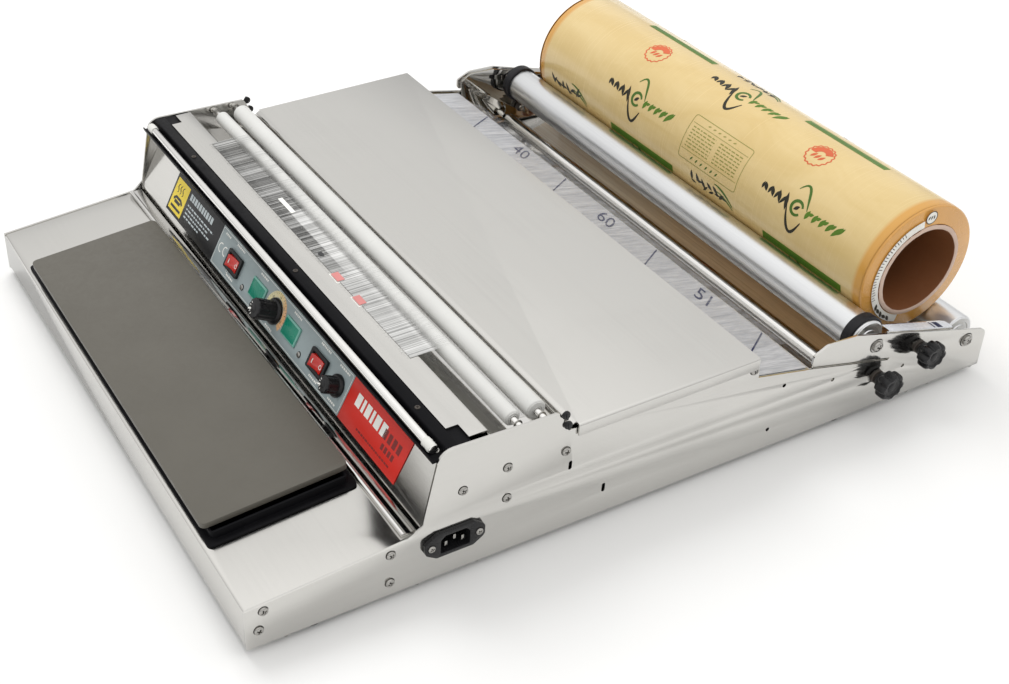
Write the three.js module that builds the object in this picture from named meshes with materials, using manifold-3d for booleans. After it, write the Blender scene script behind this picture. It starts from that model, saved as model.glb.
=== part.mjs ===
// Hand wrapping machine for cling film: a low stainless steel bench unit with a hot plate in front, a
// sloping control face, a film cutting rod, two guide rollers, a work table and a roller cradle that
// carries a roll of film at the back.
// Millimetres. X runs across the machine (+X is the operator's right), Y runs from the operator towards
// the film roll, Z is up. The origin is at the centre of the footprint, on the bench.
import * as THREE from 'three';
import Module from 'manifold-3d';

const wasm = await Module();
wasm.setup();

// ---------------------------------------------------------------- driving dimensions
const DEPTH = 695;
const PANEL_OUTER_X = 273;
const PANEL_SHEET = 2;
const SHEET = 1.5;
const THIN_SHEET = 1.2;
const GAP = 0.3;
const FOOT_LIFT = 6;
const INNER_X = PANEL_OUTER_X - PANEL_SHEET - GAP;

const PLATFORM_FRONT_Z = 37.5;
const PLATFORM_REAR_Z = 47.8;
const PLATFORM_REAR_Y = 131.5;
const PLATFORM_END_Y = 138;

const TABLE_FRONT_Y = 262;
const TABLE_REAR_Y = 434.5;
const TABLE_Z = 100.3;
const TABLE_FLANGE_X = 275.2;
const TABLE_FLANGE_DROP = 10.5;

const PLATE_HALF_X = 193.5;
const PLATE_FRONT_Y = 4;
const PLATE_LENGTH = 119.6;
const PLATE_TOP = 13.5;
const PLATE_THICK = 5;
const PLATE_CORNER_R = 5;
const PLATE_CUT = { halfX: 201, y0: 7, y1: 121 };
const TRAY_DEPTH = 18;
const TRAY_WALL = 2;
const TRAY_LIP = { halfX: 205.5, y0: 3.4, y1: 124.6, thick: 1.4 };

const FACE_FOOT_Y = 141.5;
const FACE_FOOT_Z = 55.5;
const FACE_LENGTH = 47.8;
const FACE_TILT = 27.3 * Math.PI / 180;
const FACE_MID_S = 20;

const ROCKER_X = [-72, 90];
const LENS_X = [-23.5, 40.5];
const ROCKER_FRAME = { halfX: 12.6, halfS: 8.7 };
const ROCKER_BODY = { halfX: 10.7, halfS: 6.7 };
const ROCKER_WELL = { halfX: 9.6, halfS: 5.7 };
const LENS = { halfX: 11.5, halfS: 7.5, thick: 1.4 };
const THERMOSTAT_X = 9;
const REGULATOR_X = 122;

const CUTTER_Y = 152;
const CUTTER_Z = 115.4;
const CUTTER_R = 3.6;
const CUTTER_HALF_X = 264;

const REST_FRONT_Y = 168.6;
const REST_TOP_Z = 119.2;
const REST_UNDERSIDE_Z = REST_TOP_Z - SHEET;

const GUIDE_FRONT_Y = 220;
const GUIDE_FRONT_R = 6.4;
const GUIDE_REAR_Y = 240;
const GUIDE_REAR_R = 8.2;
const GUIDE_Z = 113;
const GUIDE_LEFT_X = -253;
const GUIDE_RIGHT_X = 259;
const GUIDE_SHAFT_R = 2.5;

const SUPPORT_R = 16.5;
const SUPPORT_HALF_X = 262;
const SUPPORT_FRONT = { y: 562, z: 66 };
const SUPPORT_REAR = { y: 671, z: 34 };
const SUPPORT_SHAFT_R = 4;
const SUPPORT_TUBE_WALL = 2;
const SUPPORT_END_WALL = 8;
const RING_R = 18.6;
const RING_WIDTH = 10;

const GUIDE_TUBE = { y: 554.4, z: 22.8 };
const GUIDE_TUBE_R = 6.5;
const GUIDE_TUBE_HALF_X = 261;
const GUIDE_TUBE_SHAFT_R = 2.2;

const FILM_R = 59;
const CORE_INNER_R = 38.1;
const CORE_OUTER_R = 42.3;
const CORE_HALF_X = 240;
const FILM_HALF_X = 236;

const STUD_R = 3;
const STUD_POINTS = [{ y: 572, z: 31 }, { y: 614, z: 47 }];
const STAR_R = 12.5;
const STAR_LOBES = 8;
const STAR_BOSS_R = 6.5;
const STUD_INNER_X = 263;
const STUD_REACH = 13;

const INLET_Y = 165.8;
const INLET_Z = 33.5;
const INLET_PITCH = 40;

const FOOT_R = 11;
const FOOT_X = 259.5;
const FOOT_Y = [55, 538];

// ---------------------------------------------------------------- finishes
const finish = (color, roughness, metalness) => ({ color, roughness, metalness });
const BRUSHED = finish(0xc4c4c0, 0.38, 1.0);
const POLISHED = finish(0xd6d6d4, 0.12, 1.0);
const SATIN_ALU = finish(0xcfd1d2, 0.34, 0.9);
const TEFLON = finish(0x66635a, 0.55, 0.1);
const BLACK_SHEET = finish(0x1b1b1c, 0.5, 0.3);
const BLACK_PLASTIC = finish(0x121213, 0.38, 0.0);
const RUBBER = finish(0x16161a, 0.85, 0.0);
const WHITE_PLASTIC = finish(0xe6e6e1, 0.42, 0.0);
const DECAL_GREY = finish(0x93a3a6, 0.45, 0.0);
const LABEL_BLACK = finish(0x202021, 0.5, 0.0);
const LABEL_RED = finish(0xd6352c, 0.45, 0.0);
const RED_LAMP = finish(0xc81f14, 0.25, 0.0);
const GREEN_LAMP = finish(0x12806a, 0.3, 0.0);
const FILM_CREAM = finish(0xe0cb92, 0.32, 0.0);
const CARDBOARD = finish(0x6b3a1c, 0.85, 0.0);
const MICA = finish(0x9a8f76, 0.7, 0.0);
const IRON = finish(0x4a4c50, 0.55, 0.6);

// ---------------------------------------------------------------- geometry helpers
const ALONG_X = new THREE.Matrix4().makeBasis(
  new THREE.Vector3(0, 1, 0),
  new THREE.Vector3(0, 0, 1),
  new THREE.Vector3(1, 0, 0),
);

function signedVolume(positions) {
  let total = 0;
  for (let i = 0; i < positions.length; i += 9) {
    const [ax, ay, az, bx, by, bz, cx, cy, cz] = positions.slice(i, i + 9);
    total += ax * (by * cz - bz * cy) - ay * (bx * cz - bz * cx) + az * (bx * cy - by * cx);
  }
  return total / 6;
}

// Plain triangle list with outward faces.
function tidy(geometry) {
  const flat = geometry.index ? geometry.toNonIndexed() : geometry;
  const positions = Array.from(flat.getAttribute('position').array);
  if (signedVolume(positions) < 0) {
    for (let i = 0; i < positions.length; i += 9) {
      for (let k = 0; k < 3; k += 1) {
        const held = positions[i + 3 + k];
        positions[i + 3 + k] = positions[i + 6 + k];
        positions[i + 6 + k] = held;
      }
    }
  }
  const result = new THREE.BufferGeometry();
  result.setAttribute('position', new THREE.Float32BufferAttribute(positions, 3));
  return result;
}

function toManifold(geometry) {
  const positions = tidy(geometry).getAttribute('position').array;
  const seen = new Map();
  const vertProperties = [];
  const triVerts = [];
  for (let i = 0; i < positions.length; i += 9) {
    const corner = [];
    for (let k = 0; k < 9; k += 3) {
      const point = [positions[i + k], positions[i + k + 1], positions[i + k + 2]];
      const key = point.map((value) => Math.round(value * 1e4)).join();
      if (!seen.has(key)) {
        seen.set(key, seen.size);
        vertProperties.push(...point);
      }
      corner.push(seen.get(key));
    }
    if (corner[0] !== corner[1] && corner[1] !== corner[2] && corner[0] !== corner[2]) {
      triVerts.push(...corner);
    }
  }
  return new wasm.Manifold(new wasm.Mesh({
    numProp: 3,
    vertProperties: new Float32Array(vertProperties),
    triVerts: new Uint32Array(triVerts),
  }));
}

function fromManifold(manifold) {
  const mesh = manifold.getMesh();
  const result = new THREE.BufferGeometry();
  const points = [];
  for (const vertex of mesh.triVerts) {
    const start = vertex * mesh.numProp;
    points.push(...mesh.vertProperties.slice(start, start + 3));
  }
  result.setAttribute('position', new THREE.Float32BufferAttribute(points, 3));
  return result;
}

function subtract(geometry, tools) {
  let body = toManifold(geometry);
  for (const tool of tools) {
    body = body.subtract(toManifold(tool));
  }
  return fromManifold(body);
}

function unite(geometries) {
  let body = toManifold(geometries[0]);
  for (const other of geometries.slice(1)) {
    body = body.add(toManifold(other));
  }
  return fromManifold(body);
}

// Rounds the corners of a list of [a, b, radius] points.
function rounded(corners, closed, segments = 5) {
  const out = [];
  const count = corners.length;
  corners.forEach(([a, b, radius = 0], i) => {
    const atEnd = !closed && (i === 0 || i === count - 1);
    if (!radius || atEnd) {
      out.push(new THREE.Vector2(a, b));
      return;
    }
    const here = new THREE.Vector2(a, b);
    const before = new THREE.Vector2(...corners[(i + count - 1) % count].slice(0, 2)).sub(here).normalize();
    const after = new THREE.Vector2(...corners[(i + 1) % count].slice(0, 2)).sub(here).normalize();
    const half = Math.acos(THREE.MathUtils.clamp(before.dot(after), -1, 1)) / 2;
    const reach = radius / Math.tan(half);
    const centre = before.clone().add(after).normalize().multiplyScalar(radius / Math.sin(half)).add(here);
    const start = before.clone().multiplyScalar(reach).add(here).sub(centre);
    const end = after.clone().multiplyScalar(reach).add(here).sub(centre);
    const from = Math.atan2(start.y, start.x);
    let sweep = Math.atan2(end.y, end.x) - from;
    sweep = Math.atan2(Math.sin(sweep), Math.cos(sweep));
    for (let k = 0; k <= segments; k += 1) {
      const angle = from + sweep * k / segments;
      out.push(new THREE.Vector2(centre.x + radius * Math.cos(angle), centre.y + radius * Math.sin(angle)));
    }
  });
  return out;
}

// Outline of a bent sheet: the path is its outer face and the thickness goes to the path's right.
function sheetOutline(path, thickness) {
  const back = path.map((point, i) => {
    const before = path[Math.max(i - 1, 0)];
    const after = path[Math.min(i + 1, path.length - 1)];
    const incoming = point.clone().sub(before);
    const outgoing = after.clone().sub(point);
    if (i === 0) incoming.copy(outgoing);
    if (i === path.length - 1) outgoing.copy(incoming);
    incoming.normalize();
    outgoing.normalize();
    const normal = incoming.clone().add(outgoing).normalize();
    const shrink = normal.dot(incoming);
    return new THREE.Vector2(point.x + normal.y * thickness / shrink, point.y - normal.x * thickness / shrink);
  });
  return [...path, ...back.reverse()];
}

// Prism along X from an outline in (y, z).
function prismX(outline, x0, x1) {
  const geometry = new THREE.ExtrudeGeometry(new THREE.Shape(outline), { depth: x1 - x0, bevelEnabled: false });
  geometry.applyMatrix4(ALONG_X);
  geometry.translate(x0, 0, 0);
  return geometry;
}

const bentSheetX = (corners, thickness, x0, x1, segments = 5) => prismX(
  sheetOutline(rounded(corners, false, segments), thickness),
  x0,
  x1,
);

function block(x0, x1, y0, y1, z0, z1) {
  const geometry = new THREE.BoxGeometry(x1 - x0, y1 - y0, z1 - z0);
  geometry.translate((x0 + x1) / 2, (y0 + y1) / 2, (z0 + z1) / 2);
  return geometry;
}

function roundedSlab(halfX, y0, y1, z0, z1, radius, segments = 4) {
  const outline = rounded([
    [-halfX, y0, radius],
    [halfX, y0, radius],
    [halfX, y1, radius],
    [-halfX, y1, radius],
  ], true, segments);
  const geometry = new THREE.ExtrudeGeometry(new THREE.Shape(outline), { depth: z1 - z0, bevelEnabled: false });
  geometry.translate(0, 0, z0);
  return geometry;
}

// Turned part about X through (y, z). The profile lists [radius, x] and is closed on itself.
function turnedX(profile, y, z, segments = 40) {
  const points = profile.map(([radius, x]) => new THREE.Vector2(radius, x));
  if (profile[0][0] > 0) points.push(points[0].clone());
  const geometry = new THREE.LatheGeometry(points, segments);
  geometry.applyMatrix4(new THREE.Matrix4().makeRotationZ(-Math.PI / 2));
  geometry.translate(0, y, z);
  return geometry;
}

const rodX = (radius, x0, x1, y, z, segments = 24) => turnedX(
  [[0, x0], [radius, x0], [radius, x1], [0, x1]],
  y,
  z,
  segments,
);

// Turned part about Z. The profile lists [radius, z].
function turnedZ(profile, segments = 32) {
  const points = profile.map(([radius, z]) => new THREE.Vector2(radius, z));
  if (profile[0][0] > 0) points.push(points[0].clone());
  const geometry = new THREE.LatheGeometry(points, segments);
  geometry.rotateX(Math.PI / 2);
  return geometry;
}

// ---------------------------------------------------------------- local frames
const PLATFORM_SLOPE = Math.atan2(PLATFORM_REAR_Z - PLATFORM_FRONT_Z, PLATFORM_REAR_Y);
function onPlatform(geometry) {
  geometry.applyMatrix4(new THREE.Matrix4().makeRotationX(PLATFORM_SLOPE));
  geometry.translate(0, 0, PLATFORM_FRONT_Z);
  return geometry;
}

const FACE_UP = new THREE.Vector3(0, Math.sin(FACE_TILT), Math.cos(FACE_TILT));
const FACE_OUT = new THREE.Vector3(0, -Math.cos(FACE_TILT), Math.sin(FACE_TILT));
const FACE_FRAME = new THREE.Matrix4()
  .makeBasis(new THREE.Vector3(1, 0, 0), FACE_UP, FACE_OUT)
  .setPosition(0, FACE_FOOT_Y, FACE_FOOT_Z);
// Places something built with X across, Y up the control face and Z out of it.
function onFace(geometry) {
  geometry.applyMatrix4(FACE_FRAME);
  return geometry;
}
const facePoint = (s, out = 0) => [
  FACE_FOOT_Y + FACE_UP.y * s + FACE_OUT.y * out,
  FACE_FOOT_Z + FACE_UP.z * s + FACE_OUT.z * out,
];

// ---------------------------------------------------------------- assembly
const assembly = new THREE.Group();
assembly.name = 'film_wrapping_machine';

function add(name, geometry, look) {
  const placed = tidy(geometry);
  placed.translate(0, -DEPTH / 2, FOOT_LIFT);
  placed.computeVertexNormals();
  const material = new THREE.MeshStandardMaterial(look);
  material.name = name;
  const mesh = new THREE.Mesh(placed, material);
  mesh.name = name;
  assembly.add(mesh);
}

// ---------------------------------------------------------------- side panels
const SLIT_WIDTH = 2.4;
const slitEnd = { y: 580, z: 45 };
const panelOutline = rounded([
  [0, 0],
  [0, PLATFORM_FRONT_Z],
  [PLATFORM_REAR_Y, PLATFORM_REAR_Z, 8],
  [140.3, 56.2],
  [152.2, 119.4, 13],
  [250.8, 116.2, 4],
  [261.4, TABLE_Z - SHEET - GAP - 2],
  [436.5, TABLE_Z - SHEET - GAP - 2],
  [438, 79],
  [495, 66.4],
  [slitEnd.y, slitEnd.z],
  [slitEnd.y + 1, slitEnd.z + SLIT_WIDTH],
  [496, 66.4 + SLIT_WIDTH],
  [494, 71, 1],
  [494, 79, 4],
  [508, 85.4, 10],
  [538, 84.2, 12],
  [693, 38.2, 9],
  [DEPTH, 0],
], true);
const studHoles = (x0, x1) => STUD_POINTS.map(({ y, z }) => rodX(STUD_R + 0.5, x0, x1, y, z, 16));
const inletHole = block(268, 276, INLET_Y - 14.4, INLET_Y + 14.4, INLET_Z - 10.6, INLET_Z + 10.6);
// Punched through both panels: round holes that hold nothing, and two upright slots.
const OPEN_HOLE_R = 1.8;
const OPEN_HOLES = [{ y: 467.4, z: 60.4 }, { y: 458.8, z: 18.9 }, { y: 520.4, z: 46.7 }, { y: 599.4, z: 32.5 }];
const SLOTS = [{ y: 264.7, z: 61.6 }, { y: 298.3, z: 25.4 }];
const punchings = (x0, x1) => [
  ...studHoles(x0, x1),
  ...OPEN_HOLES.map(({ y, z }) => rodX(OPEN_HOLE_R, x0, x1, y, z, 14)),
  ...SLOTS.map(({ y, z }) => prismX(rounded([
    [y - 1.5, z - 4.2, 1.4],
    [y + 1.5, z - 4.2, 1.4],
    [y + 1.5, z + 4.2, 1.4],
    [y - 1.5, z + 4.2, 1.4],
  ], true, 4), x0, x1)),
];
const outerX = PANEL_OUTER_X;
add('side_panel_right', subtract(
  prismX(panelOutline, outerX - PANEL_SHEET, outerX),
  [...punchings(outerX - 8, outerX + 8), inletHole],
), BRUSHED);
add('side_panel_left', subtract(
  prismX(panelOutline, -outerX, -outerX + PANEL_SHEET),
  punchings(-outerX - 8, -outerX + 8),
), BRUSHED);

// ---------------------------------------------------------------- base, platform and table
const BASE_Z = 1.5;
// Cooling slots under the transformer and under the heater tray.
const VENT_PITCH = 14;
const VENT_STEPS = [-3, -2, -1, 0, 1, 2, 3];
const ventRow = ({ x, y }) => VENT_STEPS.map((step) => block(
  x + step * VENT_PITCH - 2.5,
  x + step * VENT_PITCH + 2.5,
  y - 24,
  y + 24,
  BASE_Z - 2,
  BASE_Z + THIN_SHEET + 2,
));
const ventSlots = [{ x: -137, y: 317 }, { x: 0, y: 64 }].flatMap(ventRow);
add('base_plate', subtract(
  block(-INNER_X, INNER_X, 2.4, 689, BASE_Z, BASE_Z + THIN_SHEET),
  ventSlots,
), BRUSHED);

const platformSlopeZ = (y) => PLATFORM_FRONT_Z - GAP + y * Math.tan(PLATFORM_SLOPE);
const platform = bentSheetX([
  [0, 3.2],
  [0, platformSlopeZ(0), 2.5],
  [PLATFORM_END_Y, platformSlopeZ(PLATFORM_END_Y)],
], SHEET, -INNER_X, INNER_X);
const platformCut = onPlatform(block(-PLATE_CUT.halfX, PLATE_CUT.halfX, PLATE_CUT.y0, PLATE_CUT.y1, -12, 12));
add('front_platform', subtract(platform, [platformCut]), BRUSHED);

const tableTop = unite([
  (() => {
    const path = rounded([
      [-TABLE_FLANGE_X, TABLE_Z - TABLE_FLANGE_DROP],
      [-TABLE_FLANGE_X, TABLE_Z, 2.5],
      [TABLE_FLANGE_X, TABLE_Z, 2.5],
      [TABLE_FLANGE_X, TABLE_Z - TABLE_FLANGE_DROP],
    ], false, 4);
    const shape = new THREE.Shape(sheetOutline(path, SHEET));
    const geometry = new THREE.ExtrudeGeometry(shape, {
      depth: TABLE_REAR_Y - TABLE_FRONT_Y - 6,
      bevelEnabled: false,
    });
    geometry.rotateX(Math.PI / 2);
    geometry.translate(0, TABLE_REAR_Y, 0);
    return geometry;
  })(),
  bentSheetX([
    [TABLE_FRONT_Y, TABLE_Z - 12],
    [TABLE_FRONT_Y, TABLE_Z, 5.5],
    [TABLE_FRONT_Y + 9, TABLE_Z],
  ], SHEET, -INNER_X, INNER_X, 6),
  bentSheetX([
    [TABLE_REAR_Y - 6, TABLE_Z - 0.2],
    [TABLE_REAR_Y - 0.2, TABLE_Z - 0.2],
    [TABLE_REAR_Y - 0.2, TABLE_Z - 6],
  ], SHEET, -INNER_X, INNER_X),
]);
add('table_top', tableTop, BRUSHED);

const deckSheet = bentSheetX([
  [197.8, 111],
  [199.5, 97, 5],
  [262, 84, 20],
  [437, 76.5, 20],
  [497, 63.5, 6],
  [541, 12.5, 10],
  [687, 6.4],
], THIN_SHEET, -INNER_X, INNER_X, 4);
// Behind the table the deck is narrower, to pass between the two roll end guides.
const DECK_REAR_HALF_X = 268.6;
const DECK_STEP_Y = 495;
const deckTrim = [-1, 1].map((side) => block(
  side > 0 ? DECK_REAR_HALF_X : -INNER_X - 8,
  side > 0 ? INNER_X + 8 : -DECK_REAR_HALF_X,
  DECK_STEP_Y,
  DEPTH + 5,
  0,
  70,
));
add('film_deck', subtract(deckSheet, deckTrim), POLISHED);

// ---------------------------------------------------------------- hot plate
const TRAY_TOP = PLATE_TOP - PLATE_THICK - GAP;
add('hot_plate', onPlatform(roundedSlab(
  PLATE_HALF_X,
  PLATE_FRONT_Y,
  PLATE_FRONT_Y + PLATE_LENGTH,
  PLATE_TOP - PLATE_THICK,
  PLATE_TOP,
  PLATE_CORNER_R,
)), TEFLON);
const trayHalfX = PLATE_CUT.halfX - TRAY_WALL / 2 - 0.5;
const trayY0 = PLATE_CUT.y0 + 1.5;
const trayY1 = PLATE_CUT.y1 - 1.5;
const tray = onPlatform(unite([
  roundedSlab(trayHalfX, trayY0, trayY1, -TRAY_DEPTH, TRAY_TOP, 4),
  roundedSlab(TRAY_LIP.halfX, TRAY_LIP.y0, TRAY_LIP.y1, 0, TRAY_LIP.thick, 4),
]));
const trayHollow = onPlatform(block(
  -trayHalfX + TRAY_WALL,
  trayHalfX - TRAY_WALL,
  trayY0 + TRAY_WALL,
  trayY1 - TRAY_WALL,
  -TRAY_DEPTH + 1.5,
  TRAY_TOP + 5,
));
add('heater_tray', subtract(tray, [trayHollow]), BLACK_SHEET);
add('heater_element', onPlatform(block(-185, 185, 15, 113, 3.5, TRAY_TOP - GAP)), MICA);

// ---------------------------------------------------------------- polished strip behind the plate
add('mirror_strip', onPlatform(prismX(rounded([
  [125.8, 0.2],
  [125.8, 3.4, 1.5],
  [128.6, 3.4, 1],
  [129.6, 1.6, 1],
  [137.4, 1.6],
  [137.4, 0.2],
], true, 4), -268, 268)), POLISHED);

// ---------------------------------------------------------------- control face
const [faceTopY, faceTopZ] = facePoint(FACE_LENGTH);
const facePanel = bentSheetX([
  [139.6, 44],
  [139.6, 52, 3],
  [FACE_FOOT_Y, FACE_FOOT_Z, 3],
  [faceTopY, faceTopZ, 3],
  [160.4, 104, 4],
  [160.4, 114.6, 3],
  [179, 115.2, 2],
  [179.4, 104],
], SHEET, -INNER_X, INNER_X, 4);
// A block centred on the row of controls, from one height over the face to another.
const faceBlock = (x, { halfX, halfS }, near, far) => block(
  x - halfX,
  x + halfX,
  FACE_MID_S - halfS,
  FACE_MID_S + halfS,
  near,
  far,
);
const ROCKER_CUT = { halfX: ROCKER_BODY.halfX + GAP, halfS: ROCKER_BODY.halfS + GAP };
const rockerCut = (x) => onFace(faceBlock(x, ROCKER_CUT, -6, 6));
const shaftCut = (x) => {
  const geometry = turnedZ([[0, -6], [4, -6], [4, 6], [0, 6]], 16);
  geometry.translate(x, FACE_MID_S, 0);
  return onFace(geometry);
};
const faceCuts = [...ROCKER_X.map(rockerCut), shaftCut(THERMOSTAT_X), shaftCut(REGULATOR_X)];
add('control_panel', subtract(facePanel, faceCuts), BRUSHED);

const LABEL_BACK = GAP;
const LABEL_FRONT = GAP + 0.4;
const DECAL_X = [-110, 136.6];
const INFO_LEFT_X = -214;
const MAKER_RIGHT_X = 226;
const LABEL_S = [1.5, 38.5];
const faceLabel = (x0, x1) => onFace(block(x0, x1, LABEL_S[0], LABEL_S[1], LABEL_BACK, LABEL_FRONT));
add('face_decal', subtract(faceLabel(...DECAL_X), faceCuts), DECAL_GREY);
add('info_label', faceLabel(INFO_LEFT_X, DECAL_X[0] - GAP), LABEL_BLACK);
add('maker_label', faceLabel(DECAL_X[1] + GAP, MAKER_RIGHT_X), LABEL_RED);

// Rocker switches: a frame on the face, its body through the cut-out and a tilting button.
const ROCKER_FRONT = LABEL_FRONT + GAP;
const ROCKER_FRAME_THICK = 2;
const ROCKER_DEPTH = 16;
const ROCKER_WIDTH = 10.6;
const ROCKER_PIVOT = -3;
const ROCKER_TILT = 10 * Math.PI / 180;
ROCKER_X.forEach((x, i) => {
  const housing = unite([
    faceBlock(x, ROCKER_FRAME, ROCKER_FRONT, ROCKER_FRONT + ROCKER_FRAME_THICK),
    faceBlock(x, ROCKER_BODY, -ROCKER_DEPTH, ROCKER_FRONT + 1),
  ]);
  const well = faceBlock(x, ROCKER_WELL, -ROCKER_DEPTH + 3, 12);
  add(`rocker_housing_${i + 1}`, onFace(subtract(housing, [well])), BLACK_PLASTIC);
  const profile = new THREE.Shape([
    new THREE.Vector2(-7.8, -3.5),
    new THREE.Vector2(-4, -6.5),
    new THREE.Vector2(4, -6.5),
    new THREE.Vector2(7.8, -3.5),
    new THREE.Vector2(8, 8.2),
    new THREE.Vector2(4.4, 6.9),
    new THREE.Vector2(0, 6.3),
    new THREE.Vector2(-4.4, 6.9),
    new THREE.Vector2(-8, 8.2),
  ]);
  const button = new THREE.ExtrudeGeometry(profile, { depth: ROCKER_WIDTH, bevelEnabled: false });
  button.rotateX(Math.PI / 2);
  button.translate(0, ROCKER_WIDTH / 2, 0);
  button.rotateY(ROCKER_TILT);
  button.translate(x, FACE_MID_S, ROCKER_PIVOT);
  add(`rocker_${i + 1}`, onFace(button), RED_LAMP);
});

LENS_X.forEach((x, i) => {
  const lens = faceBlock(x, LENS, ROCKER_FRONT, ROCKER_FRONT + LENS.thick);
  add(`lamp_window_${i + 1}`, onFace(lens), GREEN_LAMP);
});

// Turning knobs with a moulded stub shaft that goes through the face, and the controls behind it.
function fluted(radius, flutes, depth) {
  const points = [];
  const steps = flutes * 4;
  for (let k = 0; k < steps; k += 1) {
    const angle = k / steps * Math.PI * 2;
    const reach = radius - depth * (k % 4 === 2 ? 1 : k % 4 === 0 ? 0 : 0.35);
    points.push(new THREE.Vector2(reach * Math.cos(angle), reach * Math.sin(angle)));
  }
  return new THREE.Shape(points);
}
function turnKnob(x, skirtR, gripR, height, flutes) {
  const skirt = turnedZ([
    [0, ROCKER_FRONT],
    [skirtR, ROCKER_FRONT],
    [skirtR, ROCKER_FRONT + 1.6],
    [gripR + 0.6, ROCKER_FRONT + 3.4],
    [0, ROCKER_FRONT + 3.4],
  ], 32);
  const grip = new THREE.ExtrudeGeometry(fluted(gripR, flutes, 0.8), {
    depth: height - 4,
    bevelEnabled: true,
    bevelThickness: 1,
    bevelSize: 0.8,
    bevelOffset: -0.8,
    bevelSegments: 1,
  });
  grip.translate(0, 0, ROCKER_FRONT + 3);
  const shaft = turnedZ([[0, -4], [3, -4], [3, ROCKER_FRONT + 1], [0, ROCKER_FRONT + 1]], 16);
  const knob = unite([skirt, grip, shaft]);
  knob.translate(x, FACE_MID_S, 0);
  return onFace(knob);
}
add('thermostat_knob', turnKnob(THERMOSTAT_X, 11.5, 9, 21, 12), BLACK_PLASTIC);
add('regulator_knob', turnKnob(REGULATOR_X, 9.5, 7.5, 14, 10), BLACK_PLASTIC);
function controlBody(x, halfX, halfS, depth) {
  const boss = turnedZ([[0, -8], [5.5, -8], [5.5, -4.4], [0, -4.4]], 16);
  boss.translate(x, FACE_MID_S, 0);
  return onFace(unite([
    faceBlock(x, { halfX, halfS }, -depth, -7),
    boss,
  ]));
}
add('thermostat_body', controlBody(THERMOSTAT_X, 17, 14, 30), WHITE_PLASTIC);
add('regulator_body', controlBody(REGULATOR_X, 12, 12, 20), IRON);

// ---------------------------------------------------------------- cutting rod and its insulator
add('cutter_insulator', prismX(rounded([
  [179.2, 115.8],
  [179.2, REST_UNDERSIDE_Z - GAP],
  [REST_FRONT_Y - GAP, REST_UNDERSIDE_Z - GAP],
  [REST_FRONT_Y - GAP, REST_TOP_Z - 0.6],
  [158.9, REST_TOP_Z - 0.6, 1],
  [158.3, 111.2, 1],
  [148.3, 111.2],
  [147.2, 113.2],
  [146.2, 112.7],
  [147.4, 109],
  [160, 109],
  [160, 115],
], true, 2), -INNER_X, INNER_X), BLACK_SHEET);
add('cutter_rod', rodX(CUTTER_R, -CUTTER_HALF_X, CUTTER_HALF_X, CUTTER_Y, CUTTER_Z, 20), POLISHED);

// ---------------------------------------------------------------- film rest and guide rollers
const REST_NOTCH_X = 252;
const restNotch = (side) => block(
  side > 0 ? REST_NOTCH_X : -INNER_X,
  side > 0 ? INNER_X : -REST_NOTCH_X,
  REST_FRONT_Y - 2,
  REST_FRONT_Y + 10,
  REST_TOP_Z - 5,
  REST_TOP_Z + 2,
);
add('film_rest', subtract(bentSheetX([
  [REST_FRONT_Y, REST_TOP_Z],
  [194.6, REST_TOP_Z, 2.5],
  [196.4, 104],
], SHEET, -267, 267, 4), [restNotch(-1), restNotch(1)]), BRUSHED);

const ROLLER_EDGE = 0.8;
function guideRoller(radius, y) {
  const boreR = GUIDE_SHAFT_R + 0.4;
  return turnedX([
    [boreR, GUIDE_LEFT_X],
    [radius - ROLLER_EDGE, GUIDE_LEFT_X],
    [radius, GUIDE_LEFT_X + ROLLER_EDGE],
    [radius, GUIDE_RIGHT_X - ROLLER_EDGE],
    [radius - ROLLER_EDGE, GUIDE_RIGHT_X],
    [boreR, GUIDE_RIGHT_X],
  ], y, GUIDE_Z, 32);
}
const guideRollers = [
  ['front', GUIDE_FRONT_Y, GUIDE_FRONT_R],
  ['rear', GUIDE_REAR_Y, GUIDE_REAR_R],
];
for (const [label, y, radius] of guideRollers) {
  add(`guide_roller_${label}`, guideRoller(radius, y), WHITE_PLASTIC);
  add(`guide_shaft_${label}`, rodX(GUIDE_SHAFT_R, -INNER_X, INNER_X, y, GUIDE_Z, 16), POLISHED);
}

// ---------------------------------------------------------------- roller cradle
const supports = [['front', SUPPORT_FRONT], ['rear', SUPPORT_REAR]];
for (const [label, { y, z }] of supports) {
  const boreR = SUPPORT_SHAFT_R + 0.4;
  const hollowHalf = SUPPORT_HALF_X - SUPPORT_END_WALL;
  add(`support_roller_${label}`, turnedX([
    [boreR, -SUPPORT_HALF_X],
    [SUPPORT_R - ROLLER_EDGE, -SUPPORT_HALF_X],
    [SUPPORT_R, -SUPPORT_HALF_X + ROLLER_EDGE],
    [SUPPORT_R, SUPPORT_HALF_X - ROLLER_EDGE],
    [SUPPORT_R - ROLLER_EDGE, SUPPORT_HALF_X],
    [boreR, SUPPORT_HALF_X],
    [boreR, hollowHalf],
    [SUPPORT_R - SUPPORT_TUBE_WALL, hollowHalf],
    [SUPPORT_R - SUPPORT_TUBE_WALL, -hollowHalf],
    [boreR, -hollowHalf],
  ], y, z, 48), SATIN_ALU);
  add(`support_shaft_${label}`, rodX(SUPPORT_SHAFT_R, -INNER_X, INNER_X, y, z, 16), POLISHED);
}
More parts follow.
